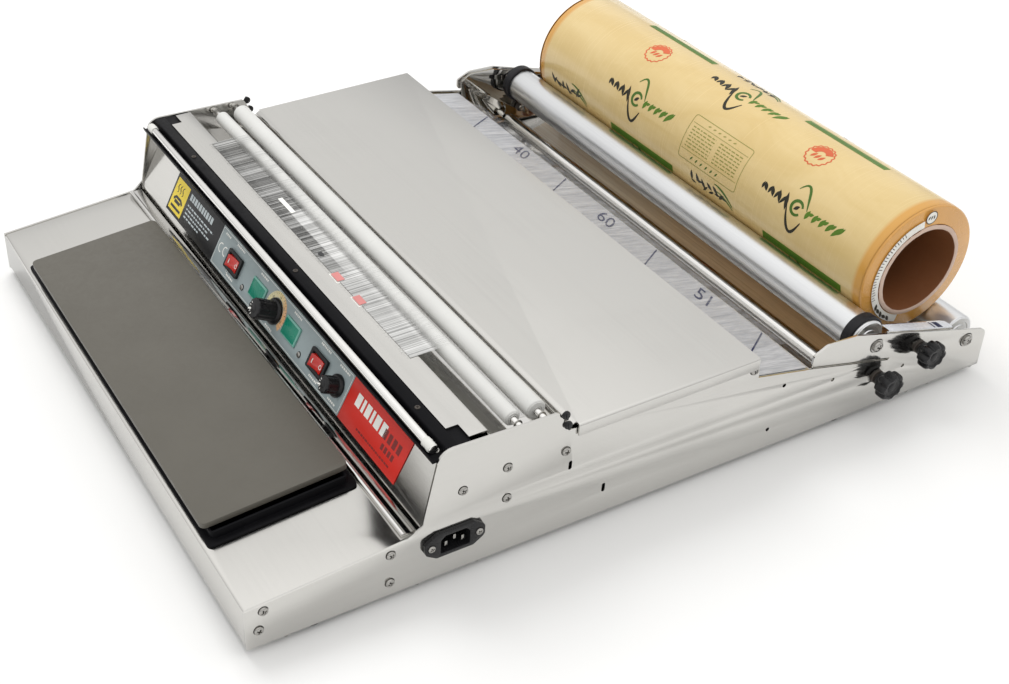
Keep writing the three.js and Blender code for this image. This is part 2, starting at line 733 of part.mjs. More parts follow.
for (const [side, sign] of [['left', -1], ['right', 1]]) {
  const middle = sign * (SUPPORT_HALF_X - 2 - RING_WIDTH / 2);
  add(`grip_ring_${side}`, turnedX([
    [SUPPORT_R + GAP, middle - RING_WIDTH / 2],
    [RING_R - 0.9, middle - RING_WIDTH / 2],
    [RING_R, middle - RING_WIDTH / 2 + 1],
    [RING_R, middle + RING_WIDTH / 2 - 1],
    [RING_R - 0.9, middle + RING_WIDTH / 2],
    [SUPPORT_R + GAP, middle + RING_WIDTH / 2],
  ], SUPPORT_FRONT.y, SUPPORT_FRONT.z, 40), RUBBER);
}
// The film turns under this free-running tube on its way to the table.
const guideTubeBore = GUIDE_TUBE_SHAFT_R + 0.4;
add('guide_tube', turnedX([
  [guideTubeBore, -GUIDE_TUBE_HALF_X],
  [GUIDE_TUBE_R - ROLLER_EDGE, -GUIDE_TUBE_HALF_X],
  [GUIDE_TUBE_R, -GUIDE_TUBE_HALF_X + ROLLER_EDGE],
  [GUIDE_TUBE_R, GUIDE_TUBE_HALF_X - ROLLER_EDGE],
  [GUIDE_TUBE_R - ROLLER_EDGE, GUIDE_TUBE_HALF_X],
  [guideTubeBore, GUIDE_TUBE_HALF_X],
], GUIDE_TUBE.y, GUIDE_TUBE.z, 40), POLISHED);
add('guide_tube_shaft', rodX(
  GUIDE_TUBE_SHAFT_R,
  -INNER_X,
  INNER_X,
  GUIDE_TUBE.y,
  GUIDE_TUBE.z,
  16,
), POLISHED);

// ---------------------------------------------------------------- roll end guides and clamp knobs
const GUIDE_PLATE_SHEET = 1.8;
const GUIDE_FLANGE_REACH = 9;
function endGuide(sign) {
  const outer = INNER_X;
  const inner = outer - GUIDE_PLATE_SHEET;
  const plate = [
    [498, 22, 3],
    [498, 76.4, 3],
    [509, 83.2, 8],
    [537, 82, 8],
    [574.6, 71],
    [574.6, 74.6, 2],
    [651, 52.6, 3],
    [651, 24, 3],
    [590, 14, 3],
  ];
  const flange = [
    [583, 70.9],
    [583, 72.4],
    [650, 53],
    [650, 51.4],
  ];
  const across = (corners, near, far) => prismX(
    rounded(corners, true, 3),
    sign > 0 ? near : -far,
    sign > 0 ? far : -near,
  );
  const body = unite([across(plate, inner, outer), across(flange, inner - GUIDE_FLANGE_REACH, outer)]);
  const [holeFrom, holeTo] = sign > 0 ? [255, 280] : [-280, -255];
  return subtract(body, [
    ...studHoles(holeFrom, holeTo),
    rodX(SUPPORT_SHAFT_R + GAP, holeFrom, holeTo, SUPPORT_FRONT.y, SUPPORT_FRONT.z, 24),
    rodX(GUIDE_TUBE_SHAFT_R + GAP, holeFrom, holeTo, GUIDE_TUBE.y, GUIDE_TUBE.z, 20),
  ]);
}
add('roll_guide_right', endGuide(1), BRUSHED);
add('roll_guide_left', endGuide(-1), BRUSHED);

function starKnob(sign, { y, z }) {
  const points = [];
  const steps = STAR_LOBES * 6;
  for (let k = 0; k < steps; k += 1) {
    const angle = k / steps * Math.PI * 2;
    const reach = STAR_R - 1.4 + 1.4 * Math.cos(angle * STAR_LOBES);
    points.push(new THREE.Vector2(reach * Math.cos(angle), reach * Math.sin(angle)));
  }
  const head = new THREE.ExtrudeGeometry(new THREE.Shape(points), {
    depth: 9,
    bevelEnabled: true,
    bevelThickness: 1.5,
    bevelSize: 1.4,
    bevelOffset: -1.4,
    bevelSegments: 1,
  });
  head.applyMatrix4(ALONG_X);
  head.translate(PANEL_OUTER_X + 8.5, y, z);
  const boss = rodX(STAR_BOSS_R, PANEL_OUTER_X + 3, PANEL_OUTER_X + 9, y, z, 20);
  const bore = rodX(STUD_R + GAP, PANEL_OUTER_X - 5, PANEL_OUTER_X + STUD_REACH + 1, y, z, 16);
  const knob = subtract(unite([head, boss]), [bore]);
  if (sign < 0) knob.scale(-1, 1, 1);
  return knob;
}
for (const [side, sign] of [['left', -1], ['right', 1]]) {
  STUD_POINTS.forEach((point, i) => {
    add(`clamp_knob_${side}_${i + 1}`, starKnob(sign, point), BLACK_PLASTIC);
    const far = PANEL_OUTER_X + STUD_REACH;
    const ends = sign > 0 ? [STUD_INNER_X, far] : [-far, -STUD_INNER_X];
    add(`clamp_stud_${side}_${i + 1}`, rodX(STUD_R, ends[0], ends[1], point.y, point.z, 12), POLISHED);
  });
}

// ---------------------------------------------------------------- film roll
// The roll lies in the valley between the two support rollers.
function rollCentre() {
  const reach = FILM_R + SUPPORT_R + GAP;
  const dy = SUPPORT_REAR.y - SUPPORT_FRONT.y;
  const dz = SUPPORT_REAR.z - SUPPORT_FRONT.z;
  const span = Math.hypot(dy, dz);
  const rise = Math.sqrt(reach * reach - span * span / 4);
  return [
    (SUPPORT_FRONT.y + SUPPORT_REAR.y) / 2 - dz / span * rise,
    (SUPPORT_FRONT.z + SUPPORT_REAR.z) / 2 + dy / span * rise,
  ];
}
const [rollY, rollZ] = rollCentre();

add('film_wrap', turnedX([
  [CORE_OUTER_R + GAP, -FILM_HALF_X],
  [FILM_R - 3, -FILM_HALF_X],
  [FILM_R - 0.8, -FILM_HALF_X + 1.2],
  [FILM_R, -FILM_HALF_X + 4],
  [FILM_R, FILM_HALF_X - 4],
  [FILM_R - 0.8, FILM_HALF_X - 1.2],
  [FILM_R - 3, FILM_HALF_X],
  [CORE_OUTER_R + GAP, FILM_HALF_X],
], rollY, rollZ, 64), FILM_CREAM);
add('film_core', turnedX([
  [CORE_INNER_R, -CORE_HALF_X],
  [CORE_OUTER_R, -CORE_HALF_X],
  [CORE_OUTER_R, CORE_HALF_X],
  [CORE_INNER_R, CORE_HALF_X],
], rollY, rollZ, 48), CARDBOARD);

// ---------------------------------------------------------------- mains inlet and transformer
function mainsInlet() {
  const ear = INLET_PITCH / 2;
  const flange = prismX(rounded([
    [INLET_Y - ear - 5, INLET_Z - 5, 4.5],
    [INLET_Y - 15.5, INLET_Z - 11.4, 3],
    [INLET_Y + 15.5, INLET_Z - 11.4, 3],
    [INLET_Y + ear + 5, INLET_Z - 5, 4.5],
    [INLET_Y + ear + 5, INLET_Z + 5, 4.5],
    [INLET_Y + 15.5, INLET_Z + 11.4, 3],
    [INLET_Y - 15.5, INLET_Z + 11.4, 3],
    [INLET_Y - ear - 5, INLET_Z + 5, 4.5],
  ], true, 3), PANEL_OUTER_X + GAP, PANEL_OUTER_X + 3.3);
  const body = block(247, PANEL_OUTER_X + 2, INLET_Y - 13.8, INLET_Y + 13.8, INLET_Z - 10, INLET_Z + 10);
  const socket = prismX(rounded([
    [INLET_Y - 12.3, INLET_Z - 8.1, 1],
    [INLET_Y + 12.3, INLET_Z - 8.1, 1],
    [INLET_Y + 12.3, INLET_Z + 4.4, 1],
    [INLET_Y + 8.6, INLET_Z + 8.1, 1],
    [INLET_Y - 8.6, INLET_Z + 8.1, 1],
    [INLET_Y - 12.3, INLET_Z + 4.4, 1],
  ], true, 2), PANEL_OUTER_X - 13, PANEL_OUTER_X + 8);
  const pin = (dy, dz) => block(
    PANEL_OUTER_X - 16,
    PANEL_OUTER_X + 1,
    INLET_Y + dy - 1,
    INLET_Y + dy + 1,
    INLET_Z + dz - 2,
    INLET_Z + dz + 2,
  );
  return unite([
    subtract(unite([flange, body]), [socket]),
    pin(-7, -1.5),
    pin(7, -1.5),
    pin(0, 2.2),
  ]);
}
add('mains_inlet', mainsInlet(), BLACK_PLASTIC);
add('transformer', unite([
  block(-170, -104, 300, 334, BASE_Z + THIN_SHEET + GAP, 58),
  block(-159, -115, 288, 346, 14, 48),
]), IRON);

// ---------------------------------------------------------------- feet
const FOOT_TOP = BASE_Z - GAP;
for (const [side, x] of [['left', -FOOT_X], ['right', FOOT_X]]) {
  FOOT_Y.forEach((y, i) => {
    const foot = turnedZ([
      [0, -FOOT_LIFT],
      [FOOT_R - 2, -FOOT_LIFT],
      [FOOT_R - 1, -FOOT_LIFT + 1],
      [FOOT_R, FOOT_TOP],
      [0, FOOT_TOP],
    ], 28);
    foot.translate(x, y, 0);
    add(`foot_${side}_${i + 1}`, foot, RUBBER);
  });
}

export default assembly;
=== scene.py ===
"""The looks of a bench-top hand wrapping machine for cling film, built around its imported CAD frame."""
import math
import random

import bmesh
import bpy
from mathutils import Matrix, Vector


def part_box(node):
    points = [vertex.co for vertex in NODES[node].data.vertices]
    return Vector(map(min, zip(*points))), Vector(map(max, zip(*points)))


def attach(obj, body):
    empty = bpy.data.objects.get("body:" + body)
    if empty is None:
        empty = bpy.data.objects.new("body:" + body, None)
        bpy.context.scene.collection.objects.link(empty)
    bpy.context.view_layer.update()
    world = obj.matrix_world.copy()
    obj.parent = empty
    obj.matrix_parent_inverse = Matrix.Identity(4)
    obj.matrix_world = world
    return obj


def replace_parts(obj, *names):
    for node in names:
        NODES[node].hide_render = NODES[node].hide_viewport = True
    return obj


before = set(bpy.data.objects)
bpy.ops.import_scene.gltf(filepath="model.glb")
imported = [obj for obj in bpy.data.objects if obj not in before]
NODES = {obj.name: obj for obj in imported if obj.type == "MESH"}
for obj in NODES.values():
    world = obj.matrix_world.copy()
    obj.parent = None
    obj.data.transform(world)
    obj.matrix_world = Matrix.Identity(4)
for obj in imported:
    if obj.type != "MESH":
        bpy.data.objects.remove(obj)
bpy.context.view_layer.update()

MM = 0.001

# ------------------------------------------------------------------ places on the machine
PANEL_LOW, PANEL_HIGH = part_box("side_panel_right")
PANEL_X = PANEL_HIGH.x / MM
FRONT = PANEL_LOW.y
BASE = PANEL_LOW.z


def at(x, y, z):
    """A point in metres from millimetres: across, back from the front edge, up from the panels' foot."""
    return Vector((x * MM, FRONT + y * MM, BASE + z * MM))


# The control face: its foot, the way up it and the way out of it.
FACE_TILT = math.radians(27.3)
FACE_UP = Vector((0, math.sin(FACE_TILT), math.cos(FACE_TILT)))
FACE_OUT = Vector((0, -math.cos(FACE_TILT), math.sin(FACE_TILT)))
FACE_FOOT = at(0, 141.5, 55.5)


def on_face(x, s, out=0.0):
    """A point x across, s up the control face and so far out of it, from millimetres."""
    return FACE_FOOT + Vector((x * MM, 0, 0)) + FACE_UP * (s * MM) + FACE_OUT * (out * MM)


FACE_AXES = Matrix((Vector((1, 0, 0)), FACE_UP, FACE_OUT)).transposed()

ROLL_LOW, ROLL_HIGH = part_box("film_wrap")
ROLL_CENTRE = (ROLL_LOW + ROLL_HIGH) / 2
ROLL_R = (ROLL_HIGH.z - ROLL_LOW.z) / 2


# ------------------------------------------------------------------ camera
CAMERA_AT = Vector((0.9309, -0.6045, 0.7945))
CAMERA_AZIMUTH = math.radians(62.59)
CAMERA_ELEVATION = math.radians(36.73)
CAMERA_ROLL = math.radians(-0.51)


def make_camera():
    data = bpy.data.cameras.new("camera")
    data.sensor_width = 36
    data.lens = 53.12
    data.shift_x = 0.1518
    data.shift_y = 0.0031
    data.clip_end = 20
    camera = bpy.data.objects.new("camera", data)
    bpy.context.scene.collection.objects.link(camera)
    forward = Vector((
        -math.sin(CAMERA_AZIMUTH) * math.cos(CAMERA_ELEVATION),
        math.cos(CAMERA_AZIMUTH) * math.cos(CAMERA_ELEVATION),
        -math.sin(CAMERA_ELEVATION),
    ))
    turn = forward.to_track_quat("-Z", "Y").to_matrix() @ Matrix.Rotation(CAMERA_ROLL, 3, "Z")
    camera.matrix_world = Matrix.Translation(CAMERA_AT) @ turn.to_4x4()
    bpy.context.scene.camera = camera


make_camera()


# ------------------------------------------------------------------ shader helpers
def set_stops(node, stops):
    """Gives a colour ramp its (position, colour) stops."""
    elements = node.color_ramp.elements
    while len(elements) < len(stops):
        elements.new(0.5)
    for element, (position, colour) in zip(elements, stops):
        element.position = position
        element.color = (*colour, 1)


class Shader:
    """A material with a Principled shader, and short ways to add nodes to it."""

    def __init__(self, name):
        self.material = bpy.data.materials.new(name)
        self.material.use_nodes = True
        self.tree = self.material.node_tree
        self.principled = self.tree.nodes["Principled BSDF"]
        self.coords = self.tree.nodes.new("ShaderNodeTexCoord")

    def set(self, **values):
        for socket, value in values.items():
            self.principled.inputs[socket.replace("_", " ")].default_value = value
        return self

    def link(self, output, target):
        self.tree.links.new(output, target)

    def drive(self, socket, output):
        self.link(output, self.principled.inputs[socket])

    def mapped(self, scale, turn=(0, 0, 0)):
        mapping = self.tree.nodes.new("ShaderNodeMapping")
        mapping.inputs["Scale"].default_value = scale
        mapping.inputs["Rotation"].default_value = turn
        self.link(self.coords.outputs["Object"], mapping.inputs["Vector"])
        return mapping.outputs["Vector"]

    def axes(self):
        """The surface point's x, y and z in the object's own metres."""
        split = self.tree.nodes.new("ShaderNodeSeparateXYZ")
        self.link(self.coords.outputs["Object"], split.inputs["Vector"])
        return [split.outputs[axis] for axis in "XYZ"]

    def noise(self, vector, detail=3.0, roughness=0.55, distortion=0.0):
        node = self.tree.nodes.new("ShaderNodeTexNoise")
        node.inputs["Scale"].default_value = 1.0
        node.inputs["Detail"].default_value = detail
        node.inputs["Roughness"].default_value = roughness
        node.inputs["Distortion"].default_value = distortion
        self.link(vector, node.inputs["Vector"])
        return node.outputs["Fac"]

    def ramp(self, value, stops):
        node = self.tree.nodes.new("ShaderNodeValToRGB")
        set_stops(node, stops)
        self.link(value, node.inputs["Fac"])
        return node.outputs["Color"]

    def spread(self, value, low, high, start, end):
        """Stretches a value from start to end over low to high, and holds it there."""
        node = self.tree.nodes.new("ShaderNodeMapRange")
        node.inputs["From Min"].default_value = start
        node.inputs["From Max"].default_value = end
        node.inputs["To Min"].default_value = low
        node.inputs["To Max"].default_value = high
        self.link(value, node.inputs["Value"])
        return node.outputs["Result"]

    def maths(self, kind, *values):
        node = self.tree.nodes.new("ShaderNodeMath")
        node.operation = kind
        for socket, value in zip(node.inputs, values):
            if isinstance(value, (int, float)):
                socket.default_value = value
            else:
                self.link(value, socket)
        return node.outputs["Value"]

    def mix(self, factor, first, second, kind="MIX"):
        node = self.tree.nodes.new("ShaderNodeMix")
        node.data_type = "RGBA"
        node.blend_type = kind
        factor_socket, first_socket, second_socket = node.inputs[0], node.inputs[6], node.inputs[7]
        for socket, value in ((factor_socket, factor), (first_socket, first), (second_socket, second)):
            if isinstance(value, (int, float)):
                socket.default_value = value
            elif isinstance(value, tuple):
                socket.default_value = (*value, 1)
            else:
                self.link(value, socket)
        return node.outputs[2]

    def bump(self, height, strength, distance, previous=None):
        node = self.tree.nodes.new("ShaderNodeBump")
        node.inputs["Strength"].default_value = strength
        node.inputs["Distance"].default_value = distance
        self.link(height, node.inputs["Height"])
        if previous is not None:
            self.link(previous, node.inputs["Normal"])
        return node.outputs["Normal"]


FINE_GRAIN, FINE_GRAIN_ALONG = 2600.0, 26.0
BROAD_GRAIN, BROAD_GRAIN_ALONG = 420.0, 3.0


def steel(name, colour, grain, roughness, streak, smudge, mirror=0.0):
    """Bare metal with its grain along one axis, fine scratches and soft smudges."""
    shader = Shader(name)
    fine = [FINE_GRAIN] * 3
    fine["XYZ".index(grain)] = FINE_GRAIN_ALONG
    broad = [BROAD_GRAIN] * 3
    broad["XYZ".index(grain)] = BROAD_GRAIN_ALONG
    lines = shader.noise(shader.mapped(fine), detail=4)
    bands = shader.noise(shader.mapped(broad), detail=3)
    clouds = shader.noise(shader.mapped((9, 9, 9)), detail=5, distortion=0.6)
    wipes = shader.noise(shader.mapped((34, 34, 34)), detail=6, roughness=0.65, distortion=1.4)
    tone = shader.spread(bands, 1 - streak, 1 + streak, 0.3, 0.7)
    stain = shader.spread(clouds, 1.0, 1 - smudge, 0.45, 0.75)
    shade = shader.maths("MULTIPLY", tone, stain)
    grey = shader.ramp(shade, [(0.8, (0.8,) * 3), (1.0, (1.0,) * 3)])
    shader.drive("Base Color", shader.mix(1.0, colour, grey, "MULTIPLY"))
    scratched = shader.spread(lines, roughness - 0.03, roughness + 0.03, 0.25, 0.75)
    wiped = shader.spread(wipes, 0.0, 0.03, 0.5, 0.8)
    shader.drive("Roughness", shader.maths("ADD", scratched, wiped))
    relief = shader.bump(lines, 0.025 * (1 - mirror), 0.00002)
    shader.drive("Normal", shader.bump(clouds, 0.03 * (1 - mirror), 0.0003, relief))
    return shader.set(Metallic=1.0).material


def plastic(name, colour, roughness, grit=0.1, grit_scale=1800.0, coat=0.0, drift=1.18, shine=0.5):
    """Moulded plastic: fine spark-eroded grain, slow colour drift and faint handling marks."""
    shader = Shader(name)
    grain = shader.noise(shader.mapped((grit_scale,) * 3), detail=2)
    clouds = shader.noise(shader.mapped((22, 22, 22)), detail=5)
    lighter = tuple(min(1.0, c * drift + 0.002) for c in colour)
    shader.drive("Base Color", shader.mix(shader.spread(clouds, 0.0, 1.0, 0.35, 0.7), colour, lighter))
    marks = shader.noise(shader.mapped((70, 70, 70)), detail=6, roughness=0.7, distortion=2.0)
    shader.drive("Roughness", shader.spread(marks, roughness - 0.07, roughness + 0.09, 0.35, 0.7))
    shader.drive("Normal", shader.bump(grain, grit, 0.0001))
    return shader.set(Coat_Weight=coat, Coat_Roughness=0.15, Specular_IOR_Level=shine).material


# ------------------------------------------------------------------ CAD finishes
STEEL_ACROSS = steel("steel_across", (0.62, 0.61, 0.585), "X", 0.16, 0.012, 0.03)
STEEL_ALONG = steel("steel_along", (0.62, 0.61, 0.585), "Y", 0.13, 0.012, 0.03, mirror=0.85)
GUIDE_STEEL = steel("guide_steel", (0.60, 0.585, 0.55), "Y", 0.06, 0.012, 0.03, mirror=1.0)
MIRROR = steel("mirror_steel", (0.72, 0.71, 0.69), "X", 0.06, 0.02, 0.05, mirror=1.0)
ROD = steel("ground_rod", (0.84, 0.83, 0.81), "X", 0.17, 0.03, 0.04, mirror=0.9)
SATIN = steel("satin_aluminium", (0.74, 0.75, 0.76), "X", 0.3, 0.05, 0.04)
BLACK_PLASTIC = plastic("black_plastic", (0.008, 0.008, 0.009), 0.3, 0.12, shine=0.32)
BLACK_SHEET = plastic("black_sheet", (0.004, 0.004, 0.005), 0.4, 0.15, 900, shine=0.07)
RUBBER = plastic("rubber", (0.009, 0.009, 0.011), 0.5, 0.25, 1400, shine=0.3)
WHITE_PLASTIC = plastic("white_plastic", (0.60, 0.60, 0.58), 0.33, 0.06, drift=1.05)
TEFLON = plastic("coated_plate", (0.105, 0.098, 0.082), 0.46, 0.3, 1500, drift=1.05, shine=0.35)
MICA = plastic("mica", (0.36, 0.31, 0.24), 0.6, 0.4, 700)
IRON = plastic("iron", (0.08, 0.08, 0.085), 0.5, 0.4, 700)
DECAL = plastic("decal", (0.28, 0.335, 0.345), 0.42, 0.08)
LABEL_BLACK = plastic("label_black", (0.016, 0.016, 0.017), 0.4, 0.08)
LABEL_RED = plastic("label_red", (0.62, 0.028, 0.018), 0.4, 0.08, drift=1.04, shine=0.35)
RED_LAMP = plastic("red_lamp", (0.52, 0.012, 0.006), 0.16, 0.03, coat=0.6)
GREEN_LAMP = plastic("green_lamp", (0.006, 0.21, 0.135), 0.3, 0.03)
CARD = plastic("cardboard", (0.17, 0.055, 0.012), 0.7, 0.4, 600)


def wound_film():
    """Cream film, wound tight with fine rings: amber where it's deepest, at the ends, and amber painted shade
    round the foot, deeper towards the bottom.
    """
    shader = Shader("film")
    across, _, up = shader.axes()
    outward = shader.maths("ABSOLUTE", across)
    half = ROLL_HIGH.x
    ends = shader.spread(outward, 0.0, 1.0, half - 11 * MM, half - 7 * MM)
    # Painted shade: the amber deepens towards the roll's foot and stands in for the shade and glow under the
    # roll.
    foot = shader.spread(up, 0.85, 0.0, ROLL_LOW.z, ROLL_CENTRE.z - 8 * MM)
    # depth joins the amber film ends with the painted shade at the foot.
    depth = shader.maths("MAXIMUM", ends, foot)
    rings = shader.noise(shader.mapped((1500, 5, 5)), detail=3)
    clouds = shader.noise(shader.mapped((14, 30, 30)), detail=5, distortion=0.8)
    cream = shader.ramp(clouds, [(0.35, (0.62, 0.455, 0.19)), (0.65, (0.67, 0.51, 0.24))])
    shader.drive("Base Color", shader.mix(depth, cream, (0.60, 0.31, 0.065)))
    shader.drive("Roughness", shader.spread(rings, 0.16, 0.3, 0.3, 0.7))
    shader.drive("Normal", shader.bump(rings, 0.08, 0.0002))
    return shader.set(Coat_Weight=0.35, Coat_Roughness=0.12, Specular_IOR_Level=0.4).material


FILM = wound_film()

CLAMPS = ("left_1", "left_2", "right_1", "right_2")
FINISHES = {
    STEEL_ACROSS: ["front_platform", "table_top", "control_panel", "film_rest", "base_plate"],
    STEEL_ALONG: ["side_panel_right", "side_panel_left"],
    GUIDE_STEEL: ["roll_guide_right", "roll_guide_left"],
    MIRROR: ["film_deck", "mirror_strip"],
    ROD: ["cutter_rod", "guide_tube", "guide_tube_shaft", "guide_shaft_front", "guide_shaft_rear",
          "support_shaft_front", "support_shaft_rear", *[f"clamp_stud_{clamp}" for clamp in CLAMPS]],
    SATIN: ["support_roller_front", "support_roller_rear"],
    BLACK_PLASTIC: ["rocker_housing_1", "rocker_housing_2", "thermostat_knob", "regulator_knob",
                    "mains_inlet", *[f"clamp_knob_{clamp}" for clamp in CLAMPS]],
    BLACK_SHEET: ["heater_tray", "cutter_insulator"],
    RUBBER: ["grip_ring_left", "grip_ring_right", *[f"foot_{corner}" for corner in CLAMPS]],
    WHITE_PLASTIC: ["guide_roller_front", "guide_roller_rear", "thermostat_body"],
    TEFLON: ["hot_plate"],
    MICA: ["heater_element"],
    IRON: ["transformer", "regulator_body"],
    DECAL: ["face_decal"],
    LABEL_BLACK: ["info_label"],
    LABEL_RED: ["maker_label"],
    RED_LAMP: ["rocker_1", "rocker_2"],
    GREEN_LAMP: ["lamp_window_1", "lamp_window_2"],
    FILM: ["film_wrap"],
    CARD: ["film_core"],
}


SHARP_EDGE = math.radians(38)


def break_edges(obj, width):
    """Rounds an object's sharp edges a little; the width is in millimetres."""
    edge = obj.modifiers.new("edge_break", "BEVEL")
    edge.width = width * MM
    edge.segments = 2
    edge.limit_method = "ANGLE"
    edge.angle_limit = SHARP_EDGE


def split_facets(obj, degrees):
    """Keeps edges sharp from an angle on, so that the rest can be shaded smoothly."""
    split = obj.modifiers.new("facets", "EDGE_SPLIT")
    split.split_angle = math.radians(degrees)


for finish, names in FINISHES.items():
    for name in names:
        node = NODES[name]
        node.data.materials.clear()
        node.data.materials.append(finish)
        node.data.polygons.foreach_set("use_smooth", [True] * len(node.data.polygons))
        weld = node.modifiers.new("weld", "WELD")
        weld.merge_threshold = 0.02 * MM
        break_edges(node, 0.25)
        split_facets(node, 34)


# ------------------------------------------------------------------ building pieces
def axes_at(origin, across, out):
    """A place on a surface: local x runs across, z stands out of it."""
    z = Vector(out).normalized()
    x = Vector(across).normalized()
    place = Matrix((x, z.cross(x), z)).transposed().to_4x4()
    place.translation = origin
    return place


class Sketch:
    """Collects the faces of one piece. Local sizes are millimetres, the mesh is in metres."""

    def __init__(self):
        self.mesh = bmesh.new()

    def sheet(self, rows):
        grid = [[self.mesh.verts.new(point) for point in row] for row in rows]
        for upper, lower in zip(grid, grid[1:]):
            for k in range(len(upper) - 1):
                self.mesh.faces.new((upper[k], upper[k + 1], lower[k + 1], lower[k]))
        return self

    def turned(self, place, profile, segments=32, wobble=None):
        """A turned form about the place's z axis, from (radius, height) points; wobble shifts a radius."""
        rows = []
        for radius, height in profile:
            row = []
            for k in range(segments + 1):
                angle = 2 * math.pi * (k % segments) / segments
                reach = radius + (wobble(angle, height, radius) if wobble else 0)
                row.append(place @ (Vector((reach * math.cos(angle), reach * math.sin(angle), height)) * MM))
            rows.append(row)
        return self.sheet(rows)

    def rings(self, place, levels):
        """Closed walls through (outline, height) levels at a place."""
        return self.sheet([[place @ (Vector((*loop[k % len(loop)], z)) * MM) for k in range(len(loop) + 1)]
                           for loop, z in levels])

    def plate(self, place, outline, low, high):
        """A flat plate of an outline in the place's xy plane."""
        loops = []
        for height in (low, high):
            loops.append([self.mesh.verts.new(place @ (Vector((x, y, height)) * MM)) for x, y in outline])
        bottom, top = loops
        self.mesh.faces.new(list(reversed(bottom)))
        self.mesh.faces.new(top)
        for k in range(len(outline)):
            after = (k + 1) % len(outline)
            self.mesh.faces.new((bottom[k], bottom[after], top[after], top[k]))
        return self

    def piece(self, name, finish, body, slot, flat=False, bevel=0.0):
        """Turns the collected faces into a named object that rides on a body."""
        bmesh.ops.remove_doubles(self.mesh, verts=self.mesh.verts, dist=0.000001)
        bmesh.ops.recalc_face_normals(self.mesh, faces=self.mesh.faces)
        mesh = bpy.data.meshes.new(name)
        self.mesh.to_mesh(mesh)
        self.mesh.free()
        obj = bpy.data.objects.new(name, mesh)
        bpy.context.scene.collection.objects.link(obj)
        mesh.materials.append(finish)
        mesh.polygons.foreach_set("use_smooth", [not flat] * len(mesh.polygons))
        if bevel:
            break_edges(obj, bevel)
        if not flat:
            split_facets(obj, 36)
        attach(obj, body)
        return obj


def box_outline(x0, x1, y0, y1, radius=0.0, steps=3):
    """A rectangle, its corners rounded."""
    if not radius:
        return [(x0, y0), (x1, y0), (x1, y1), (x0, y1)]
    points = []
    corners = ((x1 - radius, y0 + radius, -90), (x1 - radius, y1 - radius, 0),
               (x0 + radius, y1 - radius, 90), (x0 + radius, y0 + radius, 180))
    for cx, cy, start in corners:
        for k in range(steps + 1):
            angle = math.radians(start + 90 * k / steps)
            points.append((cx + radius * math.cos(angle), cy + radius * math.sin(angle)))
    return points


def polar(cx, cy, radius, angle):
    """A 2-D point at a radius and an angle, in radians, from a centre."""
    return (cx + radius * math.cos(angle), cy + radius * math.sin(angle))


def circle(cx, cy, radius, steps, start=0.0, sweep=360.0):
    turns = steps if sweep >= 360 else steps + 1
    return [polar(cx, cy, radius, math.radians(start + sweep * k / steps)) for k in range(turns)]


def spoke(cx, cy, angle, inner, outer):
    """The two ends of a tick that points at a centre."""
    return [polar(cx, cy, inner, angle), polar(cx, cy, outer, angle)]


def stroke(line, width, closed=False, taper=0.0):
    """Two edges of a brush line along 2-D points: its left side and its right side."""
    left, right = [], []
    count = len(line)
    for k, (x, y) in enumerate(line):
        before = line[(k - 1) % count] if closed or k else line[0]
        after = line[(k + 1) % count] if closed or k < count - 1 else line[-1]
        dx, dy = after[0] - before[0], after[1] - before[1]
        length = math.hypot(dx, dy) or 1.0
        along = k / max(1, count - 1)
        half = width / 2 * (1 - taper + taper * math.sin(math.pi * along))
        left.append((x - dy / length * half, y + dx / length * half))
        right.append((x + dy / length * half, y - dx / length * half))
    if closed:
        left.append(left[0])
        right.append(right[0])
    return [left, right]


def flat_on(place, lift=0.06):
    """Maps 2-D print points to a plane."""
    return lambda x, y: place @ (Vector((x, y, lift)) * MM)


def dense(line, step):
    """The same line with points no further apart than a step."""
    points = [line[0]]
    for (ax, ay), (bx, by) in zip(line, line[1:]):
        pieces = max(1, math.ceil(math.hypot(bx - ax, by - ay) / step))
        points.extend((ax + (bx - ax) * k / pieces, ay + (by - ay) * k / pieces)
                      for k in range(1, pieces + 1))
    return points


